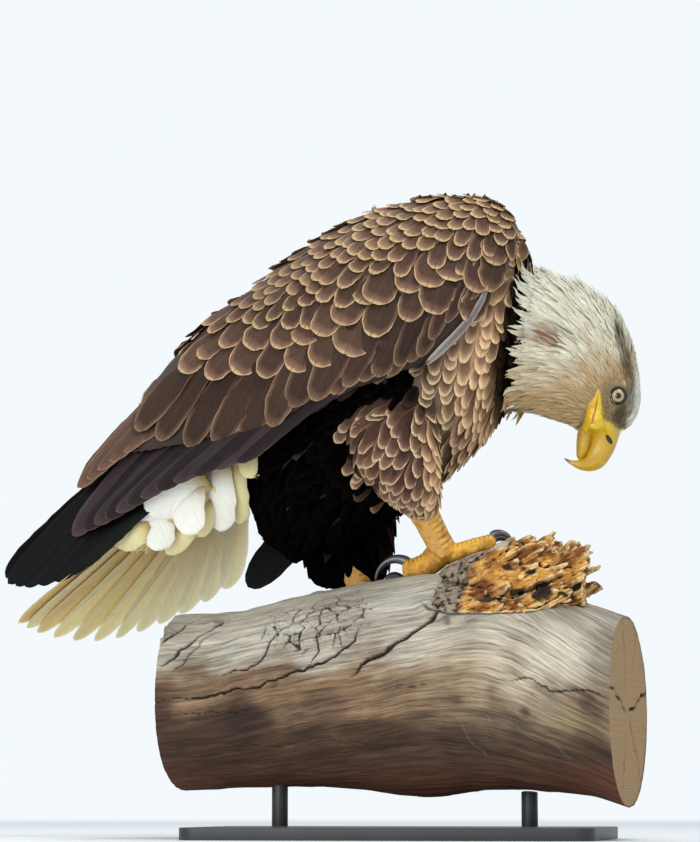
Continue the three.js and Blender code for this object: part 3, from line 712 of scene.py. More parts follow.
def skin_piece(voxel):
    mesh, places, normals, corners, region, depth = make_flesh(voxel)
    white = np.isin(region, ("neck", "head", "eyes")) | (places[:, 0] > read_off(places[:, 2], NAPE) + 12)
    colour = np.where(white[:, None], head_marks(places), body_marks(places))
    place = head_place(places)
    horn = white & (in_gape(place) | (place[:, 0] > read_off(place[:, 2], GAPE["cere"])))
    colour = np.where(horn[:, None], tint_of("gape") / 0.8, colour)
    on_wing = np.char.startswith(region, "wing") | (region == "saddle")
    # Painted shade between the feathers: the skin on the wings and back is a fifth of the wing's colour, elsewhere
    # four fifths of its own.
    colour = np.where(on_wing[:, None], wing_marks(places) * 0.22, colour * 0.8)
    colour = np.where((region == "rump")[:, None], tint_of("tail_tan"), colour)
    layer = mesh.attributes.new("Tint", "FLOAT_COLOR", "POINT")
    layer.data.foreach_set("color", opaque(colour).astype(np.float32).ravel())
    mesh.shade_smooth()
    made = in_scene("skin", mesh)
    uv = unwrap(made)
    mesh.calc_loop_triangles()
    loops, corners = (read(mesh.loop_triangles, key, 3, np.int32) for key in ("loops", "vertices"))
    skin = Skin(places, corners, normals, uv[loops], region[corners[:, 0]], depth)
    covered = [n for n in FLESH if n != "saddle"] + ["wing_left_coverts"]
    place_piece(made, skin_material(), "brown_feather", *covered)
    return skin


# ---------------------------------------------------------------- materials
def node(tree, kind, links=None, **settings):
    """Adds one shader node, with its settings, and its inputs by name or number: a node, a socket or a value."""
    made = tree.nodes.new("ShaderNode" + kind)
    for key, value in settings.items():
        setattr(made, key, value)
    for key, value in (links or {}).items():
        if isinstance(value, (bpy.types.Node, bpy.types.NodeSocket)):
            tree.links.new(socket_of(value), made.inputs[key])
        else:
            made.inputs[key].default_value = value
    return made


def socket_of(value):
    """A node's first output in use, or the socket itself."""
    return next(o for o in value.outputs if o.enabled) if isinstance(value, bpy.types.Node) else value


def linked(material, **inputs):
    """Links nodes to a material's shader, by input."""
    tree = material.node_tree
    for key, value in inputs.items():
        tree.links.new(socket_of(value), tree.nodes["Principled BSDF"].inputs[key.replace("_", " ")])
    return material


def started(name, **values):
    """A new material with fixed values on its Principled shader, and what adds nodes to it."""
    material = bpy.data.materials.new(name)
    material.use_nodes = True
    tree = material.node_tree
    for key, value in values.items():
        tree.nodes["Principled BSDF"].inputs[key.replace("_", " ")].default_value = value
    return material, partial(node, tree)


def graded(ramp, *stops):
    """Sets a ramp's stops: each one's place and its linear colour."""
    for element, (place, hue) in zip(ramp.color_ramp.elements, stops):
        element.position, element.color = place, (*hue[:3], 1)
    return ramp


def skin_material():
    """Bird skin: dull, finely wrinkled, seen only round the eyes and between feathers."""
    material, add = started("Bare skin, fine wrinkles", Roughness=0.62, IOR=1.4)
    tint = add("Attribute", attribute_name="Tint")
    place = add("TexCoord")
    folds = add("TexVoronoi", {"Vector": place.outputs["Object"], "Scale": 700.0}, feature="DISTANCE_TO_EDGE")
    bump = add("Bump", {"Height": folds, "Strength": 0.4, "Distance": 0.0006})
    return linked(material, Base_Color=tint, Normal=bump)


def feather_material(name, roughness, shaft, barb_contrast, sheen=0.0, soft=1.4, shaft_share=0.7, centre=0.5,
        gloss=0.1):
    """Feather keratin: a darker shaft, barbs that slant from it 1.6 mm apart (real ones are finer), a paler rim."""
    material, add = started(name, Roughness=roughness, IOR=1.5, Sheen_Weight=sheen, Sheen_Roughness=0.4,
        Specular_IOR_Level=gloss)
    tint = add("Attribute", attribute_name="Tint")
    rim = add("Attribute", attribute_name="Rim")
    vane = add("Attribute", attribute_name="Vane")
    parts = add("SeparateXYZ", {"Vector": vane.outputs["Vector"]})
    out = add("Math", {0: parts.outputs["X"]}, operation="ABSOLUTE")
    slant = add("Math", {0: out, 1: -1.5, 2: parts.outputs["Y"]}, operation="MULTIPLY_ADD")
    seed = add("Math", {0: tint.outputs["Alpha"], 1: 90.0}, operation="MULTIPLY")
    barb_place = add("CombineXYZ", {"X": slant, "Y": out, "Z": seed})
    stretched = add("Mapping", {"Vector": barb_place, "Scale": (0.62, 0.05, 1.0)})
    barbs = add("TexNoise", {"Vector": stretched, "Scale": 1.0, "Detail": 3.0, "Roughness": 0.65})
    light = add("MapRange", {"Value": barbs, "From Min": 0.3, "From Max": 0.7, "To Min": 1 - barb_contrast,
        "To Max": 1 + barb_contrast})
    inward = add("MapRange", {"Value": parts.outputs["Z"], "From Min": 0.0, "From Max": 7.0,
        "To Min": 1.9 - 0.9 * centre, "To Max": centre})
    level = add("Math", {0: light, 1: inward}, operation="MULTIPLY")
    depth = add("Math", {0: barbs, 1: soft, 2: parts.outputs["Z"]}, operation="MULTIPLY_ADD")
    from_rim = add("Math", {0: rim.outputs["Alpha"], 1: depth}, operation="SUBTRACT")
    edge = add("MapRange", {"Value": from_rim, "From Min": -soft, "From Max": 0.1}, interpolation_type="SMOOTHSTEP")
    toned = add("VectorMath", {0: tint, "Scale": level}, operation="SCALE")
    edged = add("Mix", {"Factor": edge, 6: toned, 7: rim}, data_type="RGBA")
    on_shaft = add("MapRange", {"Value": out, "From Min": 0.75, "From Max": 0.25, "To Min": 0.0,
        "To Max": shaft_share})
    stem = add("VectorMath", {0: tint, "Scale": shaft}, operation="SCALE")
    shafted = add("Mix", {"Factor": on_shaft, 6: edged, 7: stem}, data_type="RGBA")
    height = add("Math", {0: barbs, 1: on_shaft}, operation="ADD")
    bump = add("Bump", {"Height": height, "Strength": 0.5, "Distance": 0.0005})
    return linked(material, Base_Color=shafted, Normal=bump)


def glowing(material):
    """Lets light through thin white vanes, so that they glow a warm white from behind."""
    inputs = material.node_tree.nodes["Principled BSDF"].inputs
    for key, value in (("Weight", 0.45), ("Radius", (0.004, 0.0034, 0.0024)), ("Scale", 1.0)):
        inputs["Subsurface " + key].default_value = value


# ---------------------------------------------------------------- the coat
def uv_scale(skin):
    """How far a millimetre of skin reaches on its unwrap."""
    a, b, c = (skin.uv[:, k] for k in range(3))
    flat = np.abs((b - a)[:, 0] * (c - a)[:, 1] - (b - a)[:, 1] * (c - a)[:, 0]) / 2
    return sqrt(flat.sum() / skin.area.sum())


SHORTEST, FARTHEST_OFF = 7, 15  # The shortest feather kept at an edge, and how far off the skin a tip may stand.


def dress(plumage, lie, chosen, marks, rim, rim_width, size=1.0, stretch=1.0, wide=0.62, rise=1.0, keep=None,
        vary=0.10, camber=0.25, roll=0.14, ragged=0.06, curl=0.15, stray=0.12, thick=0.5, free=None, root_shade=0.6,
        back_to=None, by_tip=False):
    """Covers the chosen skin with feathers of one style. `free` says how far long ones stand off straight,
    `root_shade` how dark their roots are painted, as painted shade under the feathers over them; `by_tip` spreads the
    tips evenly, so that roots reach over an edge."""
    skin, rng, shares = plumage.skin, plumage.rng, plumage.shares

    def spacing(points):
        return lie_at(lie, points)[1] * size * bpy.context.scene.eagle_plumage.feather_size

    def thinned(good):
        return [a[good] for a in (lines, normals, roots, faces, lengths, spaces)]

    roots, faces = skin.scatter(chosen, spacing, rng)
    lengths = lie_at(lie, roots)[2] * stretch * rng.normal(1, 0.07, len(roots))
    lines, normals = comb(skin, lie, roots, lengths, shares, by_tip, rng.normal(0, stray, (len(roots), 3)))
    if by_tip:
        roots, _, faces = skin.nearest(lines[:, 0])
    spaces = spacing(roots)
    if back_to is not None:
        over = read_off(lines[:, -1, 2], back_to) + rng.normal(0, 3.5, len(roots)) - lines[:, -1, 0]
        room = 1 - np.clip(over / np.maximum(roots[:, 0] - lines[:, -1, 0], 1e-3), 0, 1)
        lines = roots[:, None] + (lines - roots[:, None]) * room[:, None, None]
        good = room * lengths > np.minimum(SHORTEST, 0.9 * lengths)
        lengths = lengths * room
        lines, normals, roots, faces, lengths, spaces = thinned(good)
    if free is not None:
        straight = roots[:, None] + unit(lines[:, 1] - lines[:, 0])[:, None] * lengths[:, None, None] * shares[None,
            :, None]
        apart = free(roots, lengths)[:, None, None] * step(0.1, 0.7, shares)[None, :, None]
        lines = lines + (straight - lines) * apart
        normals = unit(normals + (normals[:, :1] - normals) * apart)
    if keep is not None:
        good = keep(lines, normals)
        lines, normals, roots, faces, lengths, spaces = thinned(good)
    depth = skin.depth[skin.triangles[faces]].mean(1)
    lift = depth[:, None] * rise * rng.normal(1, 0.06, (len(roots), 1))
    profile = 0.06 + 0.94 * shares**1.15 + (curl * step(12, 26, lengths))[:, None] * step(0.7, 1, shares)[None, :]
    lines = lines + normals * (lift * profile)[..., None]
    if free is not None:
        for k in range(1, len(shares)):
            place, way, under = skin.nearest(lines[:, k])
            high = ((lines[:, k] - place) * way).sum(1)
            wanted = np.where(np.isin(skin.regions[under], ("trunk", "saddle")), 3 + 6.5 * shares[k], 0)
            lines[:, k] += way * np.clip(wanted - high, 0, 12)[:, None]
        place, way, _ = skin.nearest(lines[:, -1])
        good = ((lines[:, -1] - place) * way).sum(1) < FARTHEST_OFF
        lines, normals, roots, faces, lengths, spaces = thinned(good)
    middle = lines[:, int(len(shares) * 0.55)]
    tint = marks(middle) * rng.normal(1, vary, (len(roots), 1)).clip(0.6, 1.5)
    edge = rim(middle) if callable(rim) else tint_of(rim)
    # The roots darken to a share of the tint: painted shade under the feathers that lie over them.
    plumage.add(lines, normals, spaces * wide, tint, edge, rim_width, camber, roll, thick, ragged, base=tint * root_shade,
        reach=0.7, at=(roots, faces), patch=np.maximum(0.003, 0.5 * spaces * uv_scale(skin)))


# Tips of the three lowest covert rows on the folded wing, as x and z, from the rear to the front.
COVERT_ROWS = {"greater": [(-262, 404), (-239, 392), (-209, 386), (-175, 386), (-142, 386), (-114, 400), (-92, 414),
    (-71, 421), (-51, 427), (-35, 432), (-20, 438), (-8, 443), (4, 444), (16, 444), (27, 447), (38, 451), (50, 459),
    (62, 468), (74, 481), (85, 494), (96, 508),], "median": [(-212, 460), (-182, 452), (-150, 453), (-122, 448),
    (-92, 449), (-66, 455), (-36, 463), (-10, 481), (21, 495), (48, 503), (78, 496), (102, 524),],
    "upper median": [(-194, 474), (-169, 483), (-140, 478), (-110, 473), (-84, 477), (-62, 485), (-40, 493),
    (-7, 511), (22, 519), (43, 527), (63, 535), (86, 523), (106, 550),],}


# The pale narrow feather down the wing's front edge.
BLADE = [(100, -92, 533), (93, -93, 512), (76, -94, 489), (54, -95, 467), (40, -96, 454)]


def wing_guide(side):
    """The folded wing's own solids as a surface that long feathers can follow past the flesh."""
    forms = [(p, [t]) for p, t in map(solid_of, ("wing_right_coverts", "wing_right_secondaries"))]
    points, (triangles,) = merged(forms)
    points, normals, triangles = resurfaced(points, triangles, 3.0, 10)
    if side > 0:
        turned = to_left(points + normals) - to_left(points)
        points, normals, triangles = to_left(points), unit(turned), triangles[:, ::-1]
    return Skin(points, triangles, normals, np.zeros((len(triangles), 3, 2)), None, None)


def on_wing(guide, tips, side):
    """Places on the outside of a wing at x and z."""
    found = []
    for x, z in tips:
        hit = guide.tree.ray_cast((x, side * 400, z), (0, -side, 0))[0]
        found.append(hit if hit is not None else guide.tree.find_nearest((x, side * 130, z))[0])
    return np.array(found, float)


def wing_coverts(skin, side, rng):
    name = SIDE_NAMES[side]
    region = f"wing_{name}_coverts"
    plumage = Plumage("covert", skin, rng)
    shares, guide = plumage.shares, wing_guide(side)

    def marks(points):
        # Painted shadow: on the far wing the coverts go black towards the back.
        far = 0.92 * step(30, -40, points[:, 0]) if side > 0 else np.zeros(len(points))
        return blend(wing_marks(points), "black", far)

    def rims(points):
        shade = 1 - 0.35 * step(-40, -170, points[:, 0]) * step(500, 540, points[:, 2])
        # The far wing's rims darken with the same painted shadow.
        return tint_of("buff") * (shade * (1 - (0.9 * step(30, -40, points[:, 0]) if side > 0 else 0)))[:, None]

    # Row, lengths and half-widths from the rear to the front, height at root and tip, rim, how dark.
    for row, long, wide, lift, rim_width, shade in (
        ("greater", (112, 108, 84, 66), (17, 15, 9.5, 7.5), (-1.6, 1.0), 0.9, 0.75),
        ("median", (60, 60, 58, 56), (17, 17.5, 17, 15.5), (-2.4, 2.2), 1.5, 1.22),
        ("upper median", (48, 48, 48, 46), (16, 16.5, 16.5, 15), (-2.6, 2.9), 1.5, 1.3),
    ):
        tips = np.array(COVERT_ROWS[row], float)
        count = len(tips)
        tips += rng.normal(0, 1.5, tips.shape)
        along = evenly(count) * 3
        lengths = np.interp(along, range(4), long) * rng.normal(1, 0.04, count)
        half = np.interp(along, range(4), wide) * rng.normal(1, 0.07, count)
        lines, normals = comb(guide, "wing", on_wing(guide, tips, side), lengths, shares, back=True)
        heights = lift[0] + (lift[1] - lift[0]) * shares ** (1.1 if long[0] > 100 else 1.6)
        heights = heights + 0.9 * (np.arange(count) % 2)[:, None] * shares
        lines = lines + normals * heights[..., None]
        tint = marks(lines[:, 8]) * rng.normal(1, 0.1, (count, 1)) * shade
        rim = rims(lines[:, -1]) * rng.normal(1, 0.1, (count, 1)) * (0.6 if long[0] > 100 else 1)
        # Each root darkens to half the tint: painted shade under the row above.
        plumage.add(lines, normals, half, tint, rim, rim_width, camber=0.07, roll=0.04, ragged=0.035,
            base=tint * 0.5, reach=0.75)

    blade = curve(BLADE, shares)[None]
    blade = blade if side < 0 else to_left(blade)
    facing = np.broadcast_to(unit(np.array((0.45, side, -0.2))), blade.shape)
    grey = tint_of("blade")
    plumage.add(blade, facing, 4.2, grey, grey * 1.2, 0.4, camber=0.1, roll=0, ragged=0.02)

    line = np.array(sorted(COVERT_ROWS["upper median"]) + [(120, 505)], float)

    def above(lines, normals):
        tip, out = lines[:, -1], normals[:, len(shares) // 2, 1] * side > -0.2
        return (tip[:, 2] > np.interp(tip[:, 0], line[:, 0], line[:, 1]) + 7) & (out | (tip[:, 2] > 500))

    dress(plumage, "wing", skin.regions == region, marks, rims, 1.6, keep=above, rise=1.9, wide=0.76, vary=0.12,
        camber=0.07, roll=0.04, ragged=0.045, stray=0.07, by_tip=True)
    made = plumage.make(f"coverts_{name}")
    material = feather_material(f"Contour vane, brown, {name} wing", 0.62, 0.62, 0.28, soft=3.0, centre=0.38,
        gloss=0.12)
    return place_piece(made, material, "brown_feather")


def body_coat(skin, rng):
    """Breast, belly and back."""
    plumage = Plumage("contour", skin, rng)

    def rims(points):
        shade = body_marks(points)
        light = step(0.10, 0.45, shade.sum(1))
        low = step(325, 270, points[:, 2]) * step(-20, 20, points[:, 0]) * 0.10
        return blend(shade * 1.2, "buff_dull", np.maximum(light, low))

    def clear(lines, normals):
        tip = lines[:, -1]
        return tip[:, 0] < read_off(tip[:, 2], NAPE) - 4 + 14 * step(430, 465, tip[:, 2])

    for region in ("trunk", "saddle"):
        dress(plumage, "body", skin.regions == region, body_marks, rims, 1.8, keep=clear, rise=1.0, wide=0.66,
            vary=0.14, stray=0.16, by_tip=region == "saddle")
    return place_piece(plumage.make("coat_body"), feather_material("Contour vane, brown, body", 0.8, 0.45, 0.2, 0,
        2.6, 0.42, 0.45, 0.0), "brown_feather")


def thigh_coat(skin, side, rng):
    plumage = Plumage("contour", skin, rng)
    region = f"thigh_{side}"

    def marks(points):
        shade = tint_of("thigh") * (1 + 0.15 * layered(points, 16, 2, 23))[:, None]
        # Painted shadow: the thigh's back-facing side, and on the right thigh the part behind its rear edge, go near
        # black.
        behind = step(-0.6, -0.9, skin.nearest(points)[1][:, 0])
        if side == "right":
            edge = np.interp(points[:, 2], [315, 321, 345, 402], [-5, -12, -35, -53])
            behind = np.maximum(behind, step(2, -12, points[:, 0] - edge))
        shade = blend(shade, "belly", 0.99 * behind)
        if side == "left":
            # Painted shadow: the far thigh goes near black towards its back.
            shade = blend(shade, "belly", 0.99 * step(10, -25, points[:, 0] + 10 * layered(points, 20, 2, 4)))
        else:
            # Painted light: the near thigh's front is lightened where it faces the light.
            shade = blend(shade, tint_of("breast") * 1.35, 0.9 * step(28, 58, points[:, 0]))
            # Painted shadow: the inner side towards the back goes near black.
            inner = step(-45, -25, points[:, 1]) * step(60, 10, points[:, 0])
            shade = blend(shade, "belly", 0.99 * inner)
        return shade

    def rims(points):
        shade = marks(points)
        return blend(shade * 1.2, "buff_dull", step(0.10, 0.4, shade.sum(1)))

    dress(plumage, region, skin.regions == region, marks, rims, 1.6, size=0.8, rise=1.0, wide=0.86, vary=0.12,
        stray=0.12)
    return place_piece(plumage.make(f"coat_thigh_{side}"), feather_material(f"Contour vane, brown, {side} thigh",
        0.8, 0.5, 0.2, 0, 2.6, 0.4, 0.45, 0.0), "brown_feather")


# How far back the hackles of the neck reach: x at heights z.
NAPE = [(404, 136), (412, 128), (420, 119), (447, 122), (500, 123), (526, 130), (551, 140), (580, 150)]


def in_gape(place):
    """Whether places in the head's frame lie on the bare yellow corner of the mouth."""
    top = read_off(place[:, 0], GAPE["top"])
    low = read_off(place[:, 0], GAPE["low"])
    return (place[:, 0] > GAPE["top"][0][0]) & (place[:, 2] < top + 0.6) & (place[:, 2] > low - 0.6)


def head_coat(skin, rng):
    """Head and neck: tiny feathers on the face that lengthen to pointed hackles on the neck."""
    middle = skin.points[skin.triangles].mean(1)
    place = head_place(middle)
    bare = (np.hypot(place[:, 0] - 0.5, place[:, 2]) < 9.4) & (np.abs(place[:, 1]) > 12)
    billed = place[:, 0] > read_off(place[:, 2], GAPE["cere"])
    throat = (skin.regions == "trunk") & (middle[:, 0] > read_off(middle[:, 2], NAPE) + 14)
    chosen = (np.isin(skin.regions, ("neck", "head")) | throat) & ~bare & ~billed & ~in_gape(place)

    def tips(points):
        return np.minimum(head_marks(points) * 1.12, tint_of("white") * 1.02)

    def off(roots, lengths):
        return step(16, 36, lengths) * 0.9

    def clear(lines, normals):
        tip = head_place(lines[:, -1])
        over = tip[:, 0] > read_off(tip[:, 2], GAPE["cere"]) + 2.0
        return ~(in_gape(tip) | over) | (np.abs(tip[:, 1]) > 40)

    material = feather_material("Contour vane, white, head and neck", 0.6, 0.95, 0.16, 0.2, 2.4, 0.0, 0.95)
    on_face = np.hypot(place[:, 0] - 25, place[:, 2] + 10) < 62
    for name, part, size, wide, free in (
        ("coat_face", on_face, 0.74, 0.62, None), ("coat_neck", ~on_face, 0.78, 0.66, off),
    ):
        plumage = Plumage("hackle", skin, rng)
        dress(plumage, "neck", chosen & part, head_marks, tips, 0.9, keep=clear, size=size, rise=1.0, wide=wide,
            vary=0.08, camber=0.16, roll=0.25, ragged=0.12, curl=0.3, stray=0.13, thick=0.3, free=free, root_shade=0.8,
            back_to=NAPE)
        made = place_piece(plumage.make(name), material, "white_feather")
    return made


def rump_coat(skin, rng):
    plumage = Plumage("covert", skin, rng)

    def marks(points):
        return blend("tail_cream", "tail_tan", np.clip(0.45 + 0.4 * layered(points, 30, 2, 31), 0, 1))

    def behind(lines, normals):
        return (lines[:, -1, 0] < -146) | (lines[:, -1, 2] > 350)

    dress(plumage, "rump", skin.regions == "rump", marks, "tail_cream", 1.0, keep=behind, size=0.7, stretch=0.8,
        rise=1.1, wide=0.75, vary=0.07, camber=0.3, stray=0.16, ragged=0.08)
    return place_piece(plumage.make("coat_rump"), feather_material("Downy vane, white, rump", 0.75, 0.95, 0.08,
        0.25, 3.0, 0.3, 0.95), "white_feather")


# ---------------------------------------------------------------- flight feathers
# Each row: roots and tips from the front of the wing to its rear, in the right wing's own place.
FLIGHT_ROWS = {
    "primaries": {
        "roots": [(-196, -44, 372), (-206, -36, 392), (-214, -30, 412), (-222, -26, 430)],
        "tips": [(-330, -27, 270), (-352, -24, 257), (-384, -20, 252), (-404, -17, 256)],
        "count": 7, "half": 12.5, "tint": "black", "rim": "black", "rim_width": -2, "bow": 5,
    },
    "secondaries": {
        "roots": [(-16, -101, 452), (-80, -84, 442), (-140, -62, 436), (-212, -40, 440)],
        "tips": [(-150, -88, 366), (-212, -74, 352), (-262, -60, 334), (-298, -48, 318), (-334, -36, 304)],
        "count": 12, "half": 14, "tint": "flight", "rim": "brown", "rim_width": 0.5, "bow": 7, "vary": 0.45,
    },
    "tertials": {
        "roots": [(-120, -38, 530), (-150, -30, 515), (-180, -22, 505)],
        "tips": [(-262, -40, 392), (-300, -33, 372), (-330, -26, 352)],
        "count": 6, "half": 14, "tint": "wing", "rim": "buff", "rim_width": 0.5, "bow": 8,
    },
}


def between(roots, tips, shares):
    """Straight lines from roots to tips, as points at the shares."""
    return roots[:, None] + (tips - roots)[:, None] * shares[None, :, None]


def quill_lines(row, shares):
    """Lines of one row of flight feathers, with the way that each faces."""
    inward = 0.8  # Millimetres between one feather and the next under it.
    roots = curve(row["roots"], evenly(row["count"]))
    tips = curve(row["tips"], evenly(row["count"]))
    across = unit((tips[-1] - tips[0]) + (roots[-1] - roots[0]))
    facing = unit(np.cross(tips - roots, across))
    facing = np.where(facing[:, 1:2] > 0, -facing, facing)
    roots = roots - facing * inward * np.arange(row["count"])[:, None]
    tips = tips - facing * inward * np.arange(row["count"])[:, None]
    lines = between(roots, tips, shares)
    bow = row["bow"] * np.sin(pi * shares) + 0 * shares
    lines = lines + facing[:, None] * bow[None, :, None] * 0.35
    lines[..., 2] += bow[None, :] * 0.5
    return lines, np.repeat(facing[:, None], len(shares), 1)


def wing_quills(skin, side, rng):
    """Primaries, secondaries and tertials of one folded wing."""
    name = SIDE_NAMES[side]
    plumage = Plumage("quill", skin, rng)
    for row in FLIGHT_ROWS.values():
        lines, facing = quill_lines(row, plumage.shares)
        if side > 0:
            lines, facing = to_left(lines), facing * (1, -1, 1)
        swing = (np.arange(row["count"]) % 2 * 2 - 1) * rng.uniform(0.6, 1.2, row["count"])
        tint = tint_of(row["tint"]) * (1 + row.get("vary", 0.1) * swing)[:, None]
        plumage.add(lines, facing, row["half"], tint, tint_of(row["rim"]), row["rim_width"], camber=0.12, roll=0.03,
            ragged=0.02, thick=0.7)
    if side > 0:
        line = between(np.array([(4, 104, 462)]), np.array([(-184, 118, 258)]), plumage.shares)
        facing = np.broadcast_to((0, 1.0, 0), line.shape)
        plumage.add(line, facing, 19, tint_of("black") * 1.2, tint_of("black"), -2, camber=0.1, roll=0.0,
            ragged=0.02, thick=0.8)
    made = plumage.make(f"quills_{name}")
    place_piece(made, feather_material(f"Flight vane, blackish brown, {name} wing", 0.5, 0.4, 0.2, 0, 1.4, 0.6,
        0.7), "flight_feather", f"wing_{name}_secondaries", f"wing_{name}_primaries")
    return made


TAIL = {
    "at": (0, 0.05, 0.11, 0.2, 0.3, 0.4, 0.5, 0.6, 0.7, 0.8, 0.9, 1), "root": (-158, 0, 396), "half": 16.5,
    "right": (-227, -16, -188), "left": (-66, 228, -137),
}


def tail_fan(skin, rng):
    """Twelve tail feathers in a fan, the nearest ones stacked; stained cream, whiter towards the far side."""
    plumage = Plumage("quill", skin, rng)
    right, left = np.array(TAIL["right"], float), np.array(TAIL["left"], float)
    facing = unit(np.cross(right, left))
    t = np.array(TAIL["at"])
    count = len(t)
    angle = acos(unit(right) @ unit(left))
    aim = (np.sin((1 - t) * angle)[:, None] * unit(right) + np.sin(t * angle)[:, None] * unit(left)) / sin(angle)
    length = np.linalg.norm(right) * (1 - t) + np.linalg.norm(left) * t
    stack = -np.abs(np.arange(count) - 5.5) * 1.8
    root = np.array(TAIL["root"]) + facing * stack[:, None] + aim * 40
    shares = plumage.shares
    lines = root[:, None] + aim[:, None] * ((length - 40)[:, None] * shares[None, :])[..., None]
    lines = lines + facing * (3.0 * np.sin(pi * shares))[None, :, None]
    facings = np.broadcast_to(-facing, lines.shape)
    tint = blend("tail_cream", "down", 0.25 * step(0.35, 0.75, t))
    tint = blend(tint, "gold", np.array([0.7, 0.25, 0.6, 0.12, 0.35] + [0.05] * (count - 5)))
    plumage.add(lines, facings, TAIL["half"] * rng.normal(1, 0.04, count), tint, tint_of("down"), 0.6, camber=0.1,
        roll=0.03, ragged=0.02, thick=0.7, base=tint_of("tail_tan"), reach=1.0)
    made = plumage.make("tail_quills")
    material = feather_material("Tail vane, white stained cream", 0.6, 0.7, 0.1, 0.1, 3.0, 0.5, 0.95)
    glowing(material)
    return place_piece(made, material, "white_feather", "tail")


# The largest coverts under the tail: root, tip, half-width and tone.
UNDER_TAIL = [
    ((-203, -20, 311), (-241, 0, 284), 10, "tail_cream"), ((-186, -34, 334), (-206, -12, 300), 11, "tail_cream"),
    ((-250, -30, 309), (-291, -14, 292), 13, "tail_cream"), ((-236, -32, 328), (-248, -20, 286), 18, "down"),
    ((-230, -36, 332), (-276, -20, 310), 18, "down"), ((-188, -48, 353), (-252, -38, 322), 21, "down"),
    ((-200, -46, 350), (-213, -38, 300), 19, "down"), ((-158, -45, 369), (-164, -12, 312), 14, "tail_cream"),
    ((-173, -48, 368), (-182, -18, 304), 17.5, "down"), ((-134, -46, 382), (-149, -48, 354), 12, "tail_cream"),
]


def under_tail(skin, rng):
    plumage = Plumage("covert", skin, rng)
    roots, tips, halves, tones = zip(*UNDER_TAIL)
    lines = between(np.array(roots, float), np.array(tips, float), plumage.shares)
    facing = unit(np.array((-0.25, -0.85, -0.45)))
    lines = lines + facing * (5 * np.sin(pi * plumage.shares))[None, :, None]
    tint = np.array([tint_of(name) for name in tones])
    plumage.add(lines, np.broadcast_to(facing, lines.shape), halves, tint, tint, 1.5, camber=0.22, roll=0.1,
        ragged=0.05, thick=0.8, base=tint_of("tail_tan"), reach=0.3)
    material = feather_material("Large downy vane, white, under the tail", 0.7, 0.9, 0.08, 0.2, 3.0, 0.3, 0.95)
    glowing(material)
    return place_piece(plumage.make("coverts_under_tail"), material, "white_feather")


# ---------------------------------------------------------------- eyes, lids and bill
EYE = {"at": (-0.3, 20.9, -1.4), "radius": 11, "look": (0.09, 1, 0.17)}


def eye_material():
    """A bird's eye: pale yellow iris streaked outwards, black pupil, wet clear cornea as a coat."""
    material, add = started("Eye, wet cornea over iris", Roughness=0.25, IOR=1.38, Coat_Weight=1.0,
        Coat_Roughness=0.02, Coat_IOR=1.376)
    ring = add("Attribute", attribute_name="Ring")
    parts = add("SeparateXYZ", {"Vector": ring.outputs["Vector"]})
    streaks = add("Mapping", {"Vector": ring.outputs["Vector"], "Scale": (0.25, 3.2, 1.0)})
    fibre = add("TexNoise", {"Vector": streaks, "Scale": 1.0, "Detail": 3.0})
    iris = graded(add("ValToRGB", {"Fac": fibre}), (0.3, tint_of("iris_edge")), (0.7, tint_of("iris")))
    sizes = bpy.context.scene.eagle_bare
    pupil_edge, iris_edge = sizes.pupil_radius / MM, sizes.iris_radius / MM
    inner = add("MapRange", {"Value": parts.outputs["X"], "From Min": pupil_edge - 0.15,
        "From Max": pupil_edge + 0.35})
    outer = add("MapRange", {"Value": parts.outputs["X"], "From Min": iris_edge - 0.9, "From Max": iris_edge - 0.1})
    lit = add("Mix", {"Factor": inner, 6: linear("#060607"), 7: iris}, data_type="RGBA")
    rimmed = add("Mix", {"Factor": outer, 6: lit, 7: linear("#17140f")}, data_type="RGBA")
    return linked(material, Base_Color=rimmed)


def eyeball(side, material):
    """One eye: a smooth ball, turned to look out and slightly ahead."""
    points, faces = ball((0, 0, 0), EYE["radius"], 48, 40)
    out = Vector(EYE["look"]).normalized()
    turn = np.array(out.to_track_quat("Z", "Y").to_matrix())
    off = np.hypot(points[:, 0], points[:, 1])
    angle = np.degrees(np.arctan2(points[:, 1], points[:, 0]))
    ring = np.stack([np.where(points[:, 2] > 0, off, 11), np.abs(angle) / 10, 0 * off], -1)
    points = (points @ turn.T + EYE["at"]) * (1, side, 1)
    if side < 0:
        faces = [f[:, ::-1] for f in faces]
    name = SIDE_NAMES[side]
    made = build(f"eyeball_{name}", on_head(points), faces, {"Ring": ring})
    return place_piece(made, material, "eye", f"eye_{name}")


def cheek_at(skin, side, places, missing):
    """How far out the head's skin lies at places (x, z) in the head's frame."""
    starts = on_head(np.insert(places, 1, side * 80.0, axis=1))
    toward = (HEAD_TURN @ np.array((0, -side, 0.0))).tolist()
    hits = [skin.tree.ray_cast(start, toward)[0] for start in starts.tolist()]
    return np.array([abs(head_place(np.array([hit]))[0, 1]) if hit else missing for hit in hits])


